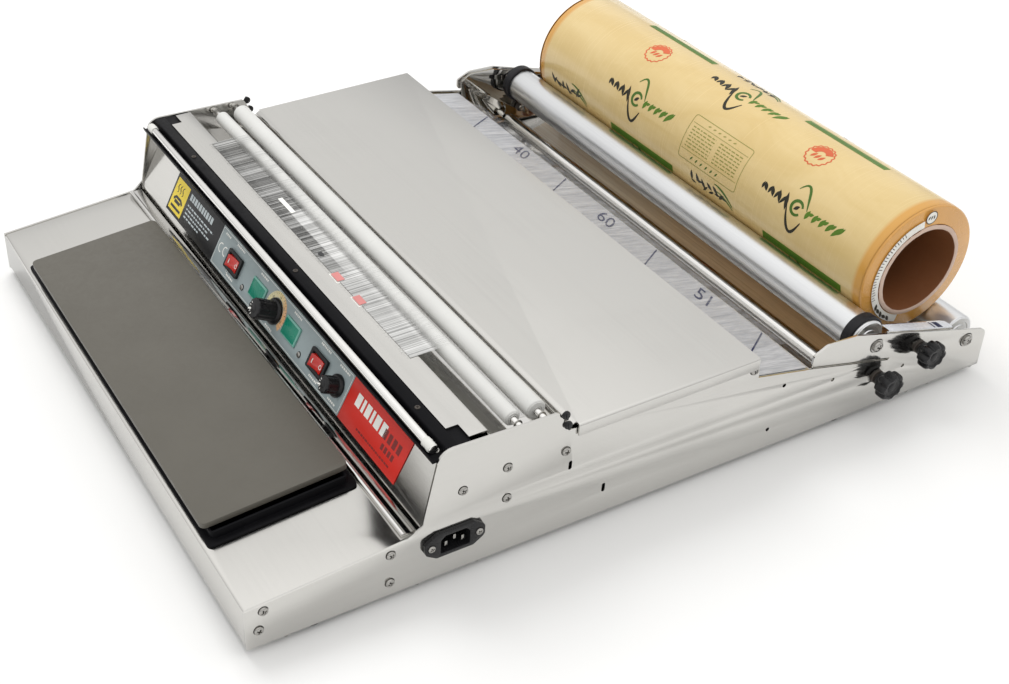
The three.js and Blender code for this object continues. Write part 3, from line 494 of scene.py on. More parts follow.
class Print(Sketch):
    """Ink on a surface that a function maps 2-D points to."""

    def __init__(self, surface, step=3.0):
        super().__init__()
        self.surface = surface
        self.step = step

    def line(self, points, width, closed=False, taper=0.0):
        points = dense(points + points[:1] if closed else points, self.step)
        if closed:
            points = points[:-1]
        edges = stroke(points, width, closed, taper)
        self.sheet([[self.surface(*point) for point in edge] for edge in edges])

    def bar(self, x0, x1, y0, y1):
        rows = max(1, math.ceil(abs(y1 - y0) / self.step))
        for k in range(rows):
            low = y0 + (y1 - y0) * k / rows
            high = y0 + (y1 - y0) * (k + 1) / rows
            steps = max(1, math.ceil(abs(x1 - x0) / (self.step * 3)))
            xs = [x0 + (x1 - x0) * j / steps for j in range(steps + 1)]
            self.sheet([[self.surface(x, low) for x in xs], [self.surface(x, high) for x in xs]])

    def dashes(self, source, start, stop, widths, low, thick, gap, clipped=False):
        """A line of small print: a row of bars of random widths."""
        while start < stop:
            width = source.uniform(*widths)
            self.bar(start, min(stop, start + width) if clipped else start + width, low, low + thick)
            start += width + gap

    def disc(self, cx, cy, outer, inner, steps, start=0.0, sweep=360.0):
        rings = max(1, math.ceil((outer - inner) / self.step))
        rows = []
        for i in range(rings + 1):
            radius = inner + (outer - inner) * i / rings
            row = []
            for k in range(steps + 1):
                angle = math.radians(start + sweep * k / steps)
                row.append(self.surface(cx + radius * math.cos(angle), cy + radius * math.sin(angle)))
            rows.append(row)
        self.sheet(rows)

    def leaf(self, x, y, length, width, turn):
        """A pointed oval, its long axis turned from x by some degrees."""
        angle = math.radians(turn)
        steps = 8
        left, right = [], []
        for k in range(steps + 1):
            along = (k / steps - 0.5) * length
            half = width / 2 * math.sin(math.pi * k / steps)
            for side, half_width in ((left, half), (right, -half)):
                side.append(self.surface(x + along * math.cos(angle) - half_width * math.sin(angle),
                                         y + along * math.sin(angle) + half_width * math.cos(angle)))
        self.sheet([left, right])


def digits(sketch, text, size, surface, x, y, turn=0.0):
    """Plain numbers as faces on a surface, centred on a point."""
    curve = bpy.data.curves.new("digits", "FONT")
    curve.body = text
    curve.size = size
    curve.align_x = "CENTER"
    curve.align_y = "CENTER"
    curve.resolution_u = 3
    holder = bpy.data.objects.new("digits", curve)
    bpy.context.scene.collection.objects.link(holder)
    bpy.context.view_layer.update()
    shape = bpy.data.meshes.new_from_object(holder)
    cos, sin = math.cos(math.radians(turn)), math.sin(math.radians(turn))
    verts = [sketch.mesh.verts.new(surface(x + v.co.x * cos - v.co.y * sin, y + v.co.x * sin + v.co.y * cos))
             for v in shape.vertices]
    for face in shape.polygons:
        sketch.mesh.faces.new([verts[k] for k in face.vertices])
    bpy.data.objects.remove(holder)
    bpy.data.curves.remove(curve)
    bpy.data.meshes.remove(shape)


# ------------------------------------------------------------------ screws, nuts and washers
SCREW_STEEL = steel("screw_steel", (0.40, 0.39, 0.37), "X", 0.14, 0.03, 0.05, mirror=0.4)
DARK_STEEL = plastic("oxide_steel", (0.045, 0.035, 0.028), 0.4, 0.3, 900)
# Black for the painted shade round the screw heads and in their recesses.
PAINTED_SHADE_BLACK = plastic("painted_shade_black", (0.006, 0.006, 0.006), 0.7, 0.1, shine=0.2)
WASHER = 0.8


def cross_depth(a, b, arm=0.14, reach=0.56):
    """How deep a cross recess is at a point of a head of radius 1, from 0 to 1."""
    across, along = sorted((abs(a), abs(b)))
    if across > arm or along > reach:
        return 0.0
    return 1 - 0.55 * (along / reach) ** 2


def pan_head(radius, height):
    """A cross-recessed pan head that sits on local z = 0."""
    rows = []
    rings, spokes = 14, 56
    for i in range(rings + 1):
        share = i / rings
        row = []
        for k in range(spokes + 1):
            angle = 2 * math.pi * (k % spokes) / spokes
            a, b = share * math.cos(angle), share * math.sin(angle)
            dome = height * (0.45 + 0.55 * math.sqrt(1 - share ** 2.4))
            z = dome - 0.62 * height * cross_depth(a, b)
            row.append(Vector((a * radius, b * radius, z)) * MM)
        rows.append(row)
    angles = [2 * math.pi * (k % spokes) / spokes for k in range(spokes + 1)]
    rows.append([Vector((*polar(0, 0, radius, angle), 0)) * MM for angle in angles])
    return rows


def screws(name, spots, radius=3.6, height=2.2, washer=0.0, finish=SCREW_STEEL, slot="polished_steel"):
    """One piece of pan-head screws at places whose z axis stands out, and one of painted shade round and in
    their heads; washer is a radius.
    """
    sketch = Sketch()
    turner = random.Random(name)
    head = pan_head(radius, height)
    turns = [turner.uniform(0, math.pi / 2) for place in spots]
    for place, turn in zip(spots, turns):
        seat = place @ Matrix.Rotation(turn, 4, "Z")
        if washer:
            bore = radius * 0.6
            sketch.turned(seat, [(bore, 0), (washer, 0), (washer, WASHER), (bore, WASHER)], 32)
            seat = seat @ Matrix.Translation((0, 0, WASHER * MM))
        sketch.sheet([[seat @ point for point in row] for row in head])
    # Painted shade: a thin dark line round each head where it meets its seat, and a dark floor in its cross
    # recess.
    painted_shade_marks = Sketch()
    reach = max(radius, washer)
    for place, turn in zip(spots, turns):
        painted_shade_marks.turned(place, [(reach - 0.4, 0.04), (reach + 0.5, 0.04)], 32)
        recess = place @ Matrix.Translation((0, 0, (height * 0.44 + (WASHER if washer else 0)) * MM))
        recess = recess @ Matrix.Rotation(turn, 4, "Z")
        long, short = 0.5 * radius, 0.1 * radius
        for a, b in ((long, short), (short, long)):
            painted_shade_marks.plate(recess, box_outline(-a, a, -b, b), -0.1, 0.0)
    painted_shade_marks.piece(f"{name}_gaps", PAINTED_SHADE_BLACK, "base", slot, flat=True)
    sketch.piece(name, finish, "base", slot)


def nut(sketch, place, across_flats, height, bore):
    """A hexagon nut with chamfered corners on local z = 0."""
    radius = across_flats / math.sqrt(3)
    outer = [polar(0, 0, radius, math.radians(60 * k)) for k in range(6)]
    inner = [(x / radius * across_flats * 0.49, y / radius * across_flats * 0.49) for x, y in outer]
    levels = [(inner, 0.0), (outer, height * 0.12), (outer, height * 0.88), (inner, height)]
    hole = [(x / radius * bore, y / radius * bore) for x, y in outer]
    levels = [(hole, 0.0), *levels, (hole, height)]
    sketch.rings(place, levels)


def thread(sketch, place, radius, length, pitch, depth):
    """A helical thread about local z."""
    steps = 20
    turns = int(length / pitch)
    rows = []
    for k in range(turns * steps + 1):
        angle = 2 * math.pi * k / steps
        lead = pitch * k / steps
        rows.append([place @ (Vector((reach * math.cos(angle), reach * math.sin(angle), lead + rise)) * MM)
                     for reach, rise in ((radius - depth, 0), (radius, pitch * 0.42), (radius, pitch * 0.58),
                                         (radius - depth, pitch))])
    sketch.sheet(rows)


def end_place(side, x, y, z):
    """A place at x that faces right (+1) or left (-1)."""
    return axes_at(at(x, y, z), (0, side, 0), (side, 0, 0))


def side_place(side, y, z, out=0.0):
    """A place on the outer face of the right (+1) or left (-1) side panel."""
    return end_place(side, side * (PANEL_X + out), y, z)


SIDES = (("right", 1), ("left", -1))
PANEL_SCREWS = [(209, 82.7), (172, 76.3), (210, 53), (259.5, 77.3), (114, 39.6), (113.4, 12.5), (14.2, 33),
                (10, 15.8)]
SHAFT_ENDS = [(562, 66), (671, 34)]
for side_name, side in SIDES:
    screws(f"panel_screws_{side_name}", [side_place(side, y, z) for y, z in PANEL_SCREWS])
    screws(f"shaft_screws_{side_name}", [side_place(side, y, z) for y, z in SHAFT_ENDS], 4.6, 3.0, 6.2)
    screws(f"table_screw_{side_name}", [side_place(side, 432, 88.2)], 3.6, 2.4)
    clips = Sketch()
    for y, z in ((255.6, 113.2), (258.4, 103.0)):
        place = side_place(side, y, z)
        clips.turned(place, [(0, 0), (3.4, 0), (3.4, 1.6), (2.6, 2.6), (0, 2.8)], 20)
        clips.plate(place, box_outline(-1.1, 1.1, -3.1, 3.1, 0.8), 2.2, 3.2)
    clips.piece(f"panel_clips_{side_name}", BLACK_PLASTIC, "base", "black_plastic", bevel=0.2)

# Small rivet heads stand out below the panels' lower edge, on the base plate.
rivets = Sketch()
for side in (-1, 1):
    for y in (31, 137, 188, 614, 638, 688):
        place = axes_at(at(side * 270.4, y, 0.4), (1, 0, 0), (0, 0, -1))
        rivets.turned(place, [(0, 3.2), (1.2, 3.0), (2.0, 2.3), (2.4, 1.2), (2.4, 0), (0, 0)], 20)
rivets.piece("base_rivets", SCREW_STEEL, "base", "polished_steel")

# Inlet: bright screws in its ears and bright pins.
INLET_Y, INLET_Z = 165.8, 33.5
screws("inlet_screws", [end_place(1, PANEL_X + 3.3, INLET_Y + dy, INLET_Z) for dy in (-20, 20)], 3.0, 1.6)
pins = Sketch()
for dy, dz in ((-7, -1.5), (7, -1.5), (0, 2.2)):
    place = end_place(1, PANEL_X - 14, INLET_Y + dy, INLET_Z + dz)
    pins.plate(place, box_outline(-1.15, 1.15, -2.15, 2.15, 0.5, 2), 2, 15.6)
pins.piece("inlet_pins", SCREW_STEEL, "base", "polished_steel", bevel=0.25)

# Clamp studs: thread, washers and lock nuts between each knob and its panel, and inside. The knobs are lobed
# mouldings with a dished face.
STAR_LOBES = 8
STAR_PROFILE = [(3.3, 0.2), (6.1, 0.2), (6.5, 0.8), (6.5, 4.4), (7.4, 5.2), (11.0, 5.4), (12.1, 6.3),
                (12.45, 8.0),
                (12.45, 12.6), (12.0, 14.4), (11.0, 15.5), (9.6, 15.8), (8.6, 15.2), (7.8, 14.3), (4.4, 14.0),
                (3.6, 14.5), (2.6, 14.8), (0.0, 14.9)]


def lobed(angle, height, radius):
    """Eight soft lobes on the rim that fade out towards the hub."""
    depth = 2.3 * min(1.0, max(0.0, (radius - 8.0) / 4.0))
    return -depth * (0.5 - 0.5 * math.cos(STAR_LOBES * angle)) ** 1.6


for side_name, side in SIDES:
    for number, (y, z) in enumerate(((572, 31), (614, 47)), 1):
        fixings = Sketch()
        outward = side_place(side, y, z)
        thread(fixings, outward, 3.22, 3.0, 1.0, 0.5)
        fixings.turned(outward, [(3.0, 0), (6.0, 0), (6.0, 1.1), (3.0, 1.1)], 32)
        inward = axes_at(at(side * 268.4, y, z), (0, side, 0), (-side, 0, 0))
        nut(fixings, inward, 9.4, 4.4, 3.0)
        fixings.piece(f"clamp_fixings_{side_name}_{number}", DARK_STEEL, "base", "iron")
        knob = f"clamp_knob_{side_name}_{number}"
        star = Sketch()
        star.turned(side_place(side, y, z, 3), STAR_PROFILE, 128, lobed)
        body = f"clamp_{side_name}_{number}"
        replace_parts(star.piece(f"star_{knob}", BLACK_PLASTIC, body, "black_plastic"), knob)


# ------------------------------------------------------------------ control face
INK_WHITE = plastic("ink_white", (0.78, 0.78, 0.74), 0.45, 0.04)
INK_BLACK = plastic("ink_black", (0.02, 0.02, 0.022), 0.45, 0.04)
INK_PALE = plastic("ink_pale", (0.52, 0.58, 0.60), 0.45, 0.04)
INK_YELLOW = plastic("ink_yellow", (0.80, 0.61, 0.045), 0.42, 0.04)
INK_DARK_RED = plastic("ink_dark_red", (0.16, 0.012, 0.01), 0.45, 0.04)
FACE_SURFACE = 0.7
FACE_MID = 20.0


def face_place(x, s, out=0.0):
    return axes_at(on_face(x, s, out), (1, 0, 0), FACE_OUT)


on_label = flat_on(face_place(0, 0, FACE_SURFACE))
on_label_top = flat_on(face_place(0, 0, FACE_SURFACE + 0.07))

# Black label: a yellow sign with a plain hand-and-heat figure, a heading and lines of small print as bars.
sign = Print(on_label)
sign.bar(-211, -184, 4.5, 35.5)
sign.piece("info_sign", INK_YELLOW, "base", "label_black")
figure = Print(on_label_top)
figure.bar(-208, -187, 7.5, 10.0)
for k in range(3):
    heat = [(-204.5 + 5 * k + 1.5 * math.sin(t * 1.4), 22.5 + t * 1.7) for t in range(6)]
    figure.line(heat, 1.5, taper=0.5)
figure.line([(-207, 15.5), (-203, 18.5), (-193, 18.5), (-188.5, 15.5)], 2.6)
figure.bar(-204, -192, 13.0, 16.2)
figure.piece("info_figure", INK_BLACK, "base", "label_black")
small_print = Print(on_label)
writer = random.Random(7)
small_print.dashes(writer, -179.5, -129, (3.2, 5.2), 27.2, 6.2, 1.3)
for level, stop in ((21.2, -122), (17.4, -130), (13.6, -124), (9.8, -146)):
    small_print.dashes(writer, -179, stop, (2.6, 6.5), level, 1.5, 1.4, True)
small_print.piece("info_print", INK_PALE, "base", "label_black")

# Red label: a plain white block mark, a dark one below it and a line of small print as bars.
badge = Print(on_label)
cursor = 149.0
for width in (7.0, 3.4, 6.6, 3.4, 7.4, 7.2):
    badge.bar(cursor, cursor + width, 21.0, 31.5)
    cursor += width + 2.2
badge.piece("maker_mark", INK_WHITE, "base", "label_red")
under = Print(on_label)
for k in range(4):
    under.bar(193 + k * 6.8, 197.6 + k * 6.8, 21.0, 29.0)
for k in range(4):
    under.bar(196 + k * 5.0, 199.4 + k * 5.0, 13.0, 18.0)
under.dashes(writer, 163.0, 214, (1.4, 3.6), 7.2, 1.5, 0.8)
under.piece("maker_small_mark", INK_DARK_RED, "base", "label_red")

# Grey overlay: pale strokes by each control, and a thin pale line round it.
legend = Print(on_label)
for x, s, width in ((-98, 33.2, 9), (-72, 34.2, 15), (-23.5, 33.6, 13), (40.5, 33.6, 13), (90, 34.2, 15),
                    (122, 34.0, 15), (-72, 5.2, 12), (90, 5.2, 12), (122, 5.0, 10), (9, 3.6, 12)):
    legend.dashes(writer, x - width / 2, x + width / 2, (1.2, 2.6), s, 1.7, 0.7)
for x in (-101.5, -93.0):
    legend.line(circle(x, FACE_MID, 4.0, 12, 70, 220), 1.1)
for x in (-79, 97):
    legend.line(circle(x, 8.5, 1.5, 14), 0.5, closed=True)
legend.line(box_outline(-108.6, 135.2, 2.9, 37.1, 1.2), 0.4, closed=True)
legend.piece("face_legend", INK_WHITE, "base", "decal_grey")

# Thermostat scale: a pale ring that warms from yellow to orange, with ticks and figures.
KNOB_X = 9.0


def scale_material():
    shader = Shader("dial_scale")
    across = shader.spread(shader.axes()[0], 0.0, 1.0, (KNOB_X - 17) * MM, (KNOB_X + 17) * MM)
    colour = shader.ramp(across, [(0.1, (0.80, 0.74, 0.42)), (0.5, (0.84, 0.70, 0.34)),
                                  (0.95, (0.80, 0.42, 0.20))])
    wear = shader.noise(shader.mapped((260, 260, 260)), detail=4)
    worn = shader.spread(wear, 0.0, 0.35, 0.45, 0.75)
    shader.drive("Base Color", shader.mix(worn, colour, (0.86, 0.84, 0.78)))
    return shader.set(Roughness=0.45).material


dial = Print(on_label, step=1.5)
dial.disc(KNOB_X, FACE_MID, 17.2, 11.9, 64, -40, 260)
dial.piece("dial_scale", scale_material(), "base", "decal_grey")
ticks = Print(on_label_top, step=1.0)
for k in range(26):
    angle = math.radians(-36 + k * 252 / 25)
    inner = 15.2 if k % 5 else 14.4
    ticks.line(spoke(KNOB_X, FACE_MID, angle, inner, 16.8), 0.3)
for k, number in enumerate(("250", "200", "150", "100", "50")):
    angle = math.radians(-12 + k * 50.4)
    digits(ticks, number, 2.1, on_label_top, *polar(KNOB_X, FACE_MID, 13.3, angle), math.degrees(angle) - 90)
ticks.piece("dial_figures", INK_BLACK, "base", "decal_grey")

# A rocker's clear red button carries pale on and off marks, and its frame has a raised rim.
ROCKERS = ((1, -72), (2, 90))
TILT = math.radians(10)
for number, x in ROCKERS:
    rim = Sketch()
    outer = box_outline(-12.9, 12.9, -9.0, 9.0, 1.6, 4)
    inner = box_outline(-9.9, 9.9, -6.0, 6.0, 0.9, 4)
    place = face_place(x, FACE_MID, 3.0)
    rim.rings(place, ((outer, 0.0), (outer, 0.5), (inner, 0.35), (inner, -1.4)))
    rim.piece(f"rocker_rim_{number}", BLACK_PLASTIC, "base", "black_plastic", bevel=0.2)
    pivot = Matrix.Translation(on_face(x, FACE_MID, -3)) @ FACE_AXES.to_4x4() @ Matrix.Rotation(TILT, 4, "Y")
    marks = Print(lambda u, v, pivot=pivot: pivot @ (Vector((u, v, 6.62 + 0.026 * u * u)) * MM), step=0.8)
    marks.line([(-5.4, -2.0), (-5.4, 2.0)], 0.7)
    marks.line(circle(5.2, 0, 1.7, 20), 0.6, closed=True)
    marks.piece(f"rocker_marks_{number}", INK_WHITE, f"rocker_{number}", "red_lamp")

for number, x in ((1, -23.5), (2, 40.5)):
    frame_line = Sketch()
    outer = box_outline(-12.6, 12.6, -8.6, 8.6, 1.0, 3)
    inner = box_outline(-11.2, 11.2, -7.2, 7.2, 0.6, 3)
    place = face_place(x, FACE_MID, 1.0)
    frame_line.rings(place, ((outer, -0.25), (outer, 1.0), (inner, 1.7), (inner, 1.2)))
    pale_green = plastic(f"lamp_frame_{number}", (0.16, 0.40, 0.33), 0.4)
    frame_line.piece(f"lamp_frame_{number}", pale_green, "base", "green_lamp")

screws("face_screws", [face_place(x, s, FACE_SURFACE) for x, s in ((-48, 10), (62, 10.8))], 2.4, 1.5)

# Pointers on the two knobs, whose crowns are their furthest points out of the face.
for name, x, reach in (("thermostat_knob", KNOB_X, 8.0), ("regulator_knob", 122, 6.6)):
    crown = max((Vector(v.co) - on_face(x, FACE_MID)).dot(FACE_OUT) for v in NODES[name].data.vertices) / MM
    place = face_place(x, FACE_MID, crown)
    pointer = Print(flat_on(place), step=2.0)
    pointer.line([(-0.3 * reach, -0.2 * reach), (-0.92 * reach, -0.5 * reach)], 1.3)
    for k in range(5):
        pointer.line(spoke(0, 0, math.radians(150 + k * 26), 0.62 * reach, 0.84 * reach), 0.55)
    pointer.piece(f"{name}_pointer", INK_WHITE, name, "black_plastic")
    cap = Sketch()
    cap.turned(place, [(0, 0.35), (0.42 * reach, 0.3), (0.5 * reach, 0.0), (0, 0.0)], 28)
    cap.piece(f"{name}_cap", BLACK_PLASTIC, name, "black_plastic")

# ------------------------------------------------------------------ cutting rod and film rest
SLEEVE = plastic("glass_sleeve", (0.60, 0.60, 0.57), 0.4, 0.3, 900)
CUT_Y, CUT_Z = 152.0, 115.4
wrinkle = random.Random(11)
phases = [wrinkle.uniform(0, 6.28) for _ in range(2)]


def crumple(angle, height, radius):
    slow = math.sin(3 * angle + height * 0.9 + phases[0])
    quick = math.sin(5 * angle - height * 1.7 + phases[1])
    return 0.1 * slow + 0.08 * quick


for side_name, side in SIDES:
    ends = Sketch()
    ends.turned(end_place(side, side * 253, CUT_Y, CUT_Z),
                [(3.65, 0), (4.0, 0.4)] + [(3.95 + 0.15 * (k % 2), k * 1.2) for k in range(1, 9)]
                + [(3.65, 10.4)], 28, crumple)
    ends.piece(f"cutter_sleeve_{side_name}", SLEEVE, "base", "white_plastic")
    screws(f"cutter_end_screws_{side_name}",
           [axes_at(at(side * 262, 156.2, 111.4), (1, 0, 0), (0, -0.4, 1))], 2.4, 1.4)


def level_place(x, y, z):
    """A place on a level face."""
    return axes_at(at(x, y, z), (1, 0, 0), (0, 0, 1))


screws("insulator_screws", [level_place(x, 163.2, 118.6) for x in (-186.5, 23.9, 222)], 2.1, 0.9,
       finish=DARK_STEEL, slot="iron")

REST_Z = 119.2
on_rest = flat_on(level_place(0, 0, REST_Z))
on_rest_top = flat_on(level_place(0, 0, REST_Z), 0.85)
INK_ROSE = plastic("ink_rose", (0.55, 0.20, 0.19), 0.5)
# Paper tags: each piece's surface, ink, slot and bars.
for name, surface, ink, slot, bars in (
        ("rest_stickers", on_rest, INK_WHITE, "white_plastic",
         ((41.7, 56.7, 184.2, 192.8), (78.7, 93.7, 184.2, 192.8))),
        ("rest_sticker_centres", on_rest_top, INK_ROSE, "white_plastic",
         ((43.0, 55.4, 185.2, 191.8), (80.0, 92.4, 185.2, 191.8))),
        ("rest_tag", on_rest_top, INK_BLACK, "black_plastic", ((10.5, 16.5, 189.8, 193.4),)),
        ("rest_blank_tag", on_rest_top, INK_WHITE, "white_plastic", ((-82, -55, 197.8, 202),))):
    tag = Print(surface)
    for bar in bars:
        tag.bar(*bar)
    tag.piece(name, ink, "base", slot)


# ------------------------------------------------------------------ the film
FILM_IOR = 1.45


def clear_film():
    """Glossy stretch film with fine pulled lines across the machine's depth."""
    shader = Shader("clear_film")
    pulled = shader.noise(shader.mapped((900, 7, 7)), detail=3)
    coarse = shader.noise(shader.mapped((130, 5, 5)), detail=4, distortion=0.4)
    both = shader.maths("MULTIPLY", pulled, coarse)
    shader.drive("Base Color", shader.ramp(both, [(0.15, (0.30, 0.30, 0.32)), (0.35, (0.70, 0.70, 0.71))]))
    shader.drive("Alpha", shader.spread(both, 0.10, 0.3, 0.14, 0.38))
    shader.drive("Normal", shader.bump(both, 0.3, 0.0005))
    shader.material.surface_render_method = "BLENDED"
    return shader.set(Roughness=0.14, IOR=FILM_IOR, Coat_Weight=0.2).material


def pulled_film():
    """The cut film: clear on roller and rest, fine straight pleats between drawn as pale and dark stripes of
    painted highlight and shade, and painted shade dark to the left.
    """
    shader = Shader("pulled_film")
    across, back, _ = shader.axes()
    fine = shader.noise(shader.mapped((1100, 3, 3)), detail=2)
    broad = shader.noise(shader.mapped((70, 1, 1)), detail=3)
    pleats = shader.maths("ADD", shader.maths("MULTIPLY", fine, 0.7), shader.maths("MULTIPLY", broad, 0.3))
    # The pleats' pale and dark stripes are painted highlights and painted shade; the second ramp is a shaded
    # copy of the first.
    pale = shader.ramp(pleats, [(0.38, (0.26, 0.26, 0.255)), (0.50, (0.48, 0.48, 0.47)),
                                (0.64, (0.80, 0.80, 0.79))])
    painted_shade_pleats = shader.ramp(pleats, [(0.38, (0.02, 0.02, 0.02)), (0.48, (0.11, 0.11, 0.105)),
                               (0.56, (0.26, 0.26, 0.255)), (0.66, (0.62, 0.62, 0.61))])
    # Painted shade: dark to the left, and in the middle towards the front.
    left = shader.spread(across, 1.0, 0.0, -60 * MM, -54 * MM)
    middle = shader.spread(across, 1.0, 0.0, 15 * MM, 60 * MM)
    front = shader.spread(back, 1.0, 0.0, at(0, 197, 0).y, at(0, 198, 0).y)
    shade = shader.maths("MAXIMUM", left, shader.maths("MULTIPLY", middle, front))
    shader.drive("Base Color", shader.mix(shade, pale, painted_shade_pleats))
    start = shader.spread(back, 0.0, 1.0, at(0, 186.6, 0).y, at(0, 187.2, 0).y)
    stop = shader.spread(back, 1.0, 0.0, at(0, 206, 0).y, at(0, 213, 0).y)
    band = shader.maths("MULTIPLY", start, stop)
    faint = shader.spread(pleats, 0.02, 0.3, 0.5, 0.62)
    shader.drive("Alpha", shader.maths("MAXIMUM", faint, shader.maths("MULTIPLY", band, 0.86)))
    shader.material.surface_render_method = "BLENDED"
    return shader.set(Roughness=0.25, IOR=FILM_IOR).material


GUIDE_FRONT_Y, GUIDE_FRONT_R, GUIDE_Z = 220.0, 6.4, 113.0
TUBE_Y, TUBE_Z, TUBE_R = 554.4, 22.8, 6.5
WEB_HALF = 235


def arc(cy, cz, radius, start, end, steps):
    """Points (y, z) on an arc; angles in degrees, 0 towards the back and 90 up."""
    return [polar(cy, cz, radius, math.radians(start + (end - start) * k / steps)) for k in range(steps + 1)]


crease = random.Random(23)
waves = [(crease.uniform(0.6, 3.4), crease.uniform(0, 6.28), crease.uniform(0.25, 1.0)) for _ in range(16)]


def rippled(x):
    return sum(weight * math.sin(x * rate + phase) for rate, phase, weight in waves) / 6


def film_sheet(name, path, left, right, step, finish, lift=0.0, torn=0.0, loose_from=0):
    """A sheet of film along a path of (y, z) points, rippled from one of them on, its last edge torn."""
    rows = []
    steps = int((right - left) / step)
    for k, (y, z) in enumerate(path):
        freedom = 0.0 if k < loose_from else min(1.0, (k - loose_from + 1) / 4)
        row = []
        for j in range(steps + 1):
            x = left + (right - left) * j / steps
            swing = rippled(x) * lift * freedom
            back = torn * (0.5 + 0.5 * rippled(x * 0.31 + 4)) if k == len(path) - 1 else 0.0
            row.append(at(x, y + back, z + abs(swing) * 0.6 + max(swing, 0) * 0.4))
        rows.append(row)
    Sketch().sheet(rows).piece(name, finish, "base", "film")


# From the nip, over the front guide roller and down on the rest, where it clings with its cut edge.
curtain_path = [(229.3, 96.0), (228.6, 103.0)] + arc(GUIDE_FRONT_Y, GUIDE_Z, GUIDE_FRONT_R + 0.4, 8, 92, 8)
curtain_path += [(216.0, 119.75), (210.0, 119.7), (200.0, 119.65), (192.0, 119.6), (184.0, 119.6)]
film_sheet("film_curtain", curtain_path, -200, 170, 0.8, pulled_film(), 0.06, 0.8, 11)

# From the roll's foot under the guide tube, up over the deck, under the table and up to the nip.
feed_path = [(646.7, 40.5), (620.0, 33.1), (590.0, 24.8)] + arc(TUBE_Y, TUBE_Z, TUBE_R + 0.35, -74, -125, 5)


def feed_material():
    """The film between the roll and the tube: tan, paler to the left. The tan is a painted reflection of the
    roll, and the colours are lifted as painted light against the shade under the roll.
    """
    shader = Shader("feed_film")
    across = shader.spread(shader.axes()[0], 0.0, 1.0, -WEB_HALF * MM, WEB_HALF * MM)
    # Painted reflection of the roll in tan across the film, paler to the left, lifted as painted light.
    painted_reflection_tint = shader.ramp(across, [(0.0, (0.86, 0.83, 0.74)), (0.22, (0.84, 0.76, 0.60)),
                                (0.5, (0.84, 0.64, 0.40)), (1.0, (0.80, 0.50, 0.24))])
    pulled = shader.noise(shader.mapped((5, 700, 700)), detail=3)
    amber = shader.spread(pulled, 0.0, 0.5, 0.35, 0.7)
    shader.drive("Base Color", shader.mix(amber, painted_reflection_tint, (0.46, 0.30, 0.15)))
    shader.drive("Normal", shader.bump(pulled, 0.1, 0.0003))
    return shader.set(Roughness=0.22, Specular_IOR_Level=0.3).material


film_sheet("film_feed", feed_path, -WEB_HALF, WEB_HALF, 4, feed_material())
web_path = arc(TUBE_Y, TUBE_Z, TUBE_R + 0.35, -125, -150, 3)
web_path += [(543.0, 29.0), (520.0, 47.0), (501.0, 64.6), (496.0, 66.2), (470.0, 71.8), (440.0, 78.4),
             (426.0, 82.8), (400.0, 85.2), (300.0, 88.6), (272.0, 86.6), (262.0, 86.2), (250.0, 88.0),
             (240.0, 91.0), (234.0, 94.5), (231.4, 98.0), (229.9, 101.0)]
film_sheet("film_web", web_path, -WEB_HALF, WEB_HALF, 2.4, clear_film(), 0.15, 0.0, 4)

# Behind the table the deck still wears its protective film, streaked and marked in blue.
SHELF_Y, SHELF_Z, SHELF_DROP = 437.0, 77.1, 13.0 / 60.0


def on_shelf(lift, slant=0.72):
    """Maps u across and y back to the deck's rear shelf; u follows the slant of the marks."""
    return lambda u, y: at(u - slant * (y - 474), y, SHELF_Z - SHELF_DROP * (y - SHELF_Y) + lift)


def cover_material():
    shader = Shader("deck_cover")
    pulled = shader.noise(shader.mapped((260, 40, 40), (0, 0, 0.45)), detail=5, distortion=0.9)
    fine = shader.noise(shader.mapped((1200, 60, 60), (0, 0, 0.3)), detail=3)
    both = shader.maths("MULTIPLY", pulled, fine)
    shader.drive("Base Color", shader.ramp(both, [(0.15, (0.33, 0.34, 0.36)), (0.26, (0.41, 0.415, 0.435)),
                                                  (0.4, (0.52, 0.52, 0.54))]))
    shader.drive("Normal", shader.bump(both, 0.2, 0.0005))
    return shader.set(Roughness=0.26, Specular_IOR_Level=0.4).material


cover = Print(on_shelf(0.25, 0.0), 8)
cover.bar(-268, 268, 441, 494)
cover.piece("deck_cover", cover_material(), "base", "film")
BLUE_INK = plastic("ink_blue", (0.006, 0.012, 0.06), 0.5, 0.04, shine=0.2)
MARK_PITCH = 141.2
on_cover = on_shelf(0.5)
marks = Print(on_cover, 4)
for k in range(-2, 2):
    x = 87.4 + MARK_PITCH * k
    marks.line([(x, 449), (x, 493)], 1.7)
for k, number in enumerate(("40", "60", "51")):
    digits(marks, number, 24, on_cover, -122 + MARK_PITCH * k, 480)
marks.piece("deck_cover_marks", BLUE_INK, "base", "film")


# ------------------------------------------------------------------ film roll
ROLL_INKS = {
    ink: plastic(f"ink_{ink}", colour, 0.4, 0.03, shine=0.3) for ink, colour in (
        ("green", (0.075, 0.16, 0.012)), ("leaf", (0.05, 0.12, 0.015)), ("seal", (0.55, 0.11, 0.04)),
        ("olive", (0.26, 0.24, 0.06)), ("soot", (0.02, 0.018, 0.01)))
}


def on_roll(lift):
    """Maps x across and v round the roll, both in millimetres, to the roll's skin; v = 0 faces the table."""
    radius = ROLL_R + lift * MM

    def surface(x, v):
        angle = v * MM / ROLL_R
        forward, up = polar(0, 0, radius, angle)
        return Vector((x * MM, ROLL_CENTRE.y - forward, ROLL_CENTRE.z + up))
    return surface


def degrees_round(angle):
    """The length round the roll of an angle in degrees."""
    return math.radians(angle) * ROLL_R / MM


HALF_PRINT = 228.0
PRINT_PITCH = 226.0
inks = {"green": Print(on_roll(0.08), 4), "leaf": Print(on_roll(0.1), 3), "seal": Print(on_roll(0.08), 3),
        "olive": Print(on_roll(0.08), 4), "soot": Print(on_roll(0.1), 3)}
tracer = random.Random(5)


def whole(x, half):
    """Whether a mark this wide stays on the film."""
    return abs(x) + half < HALF_PRINT


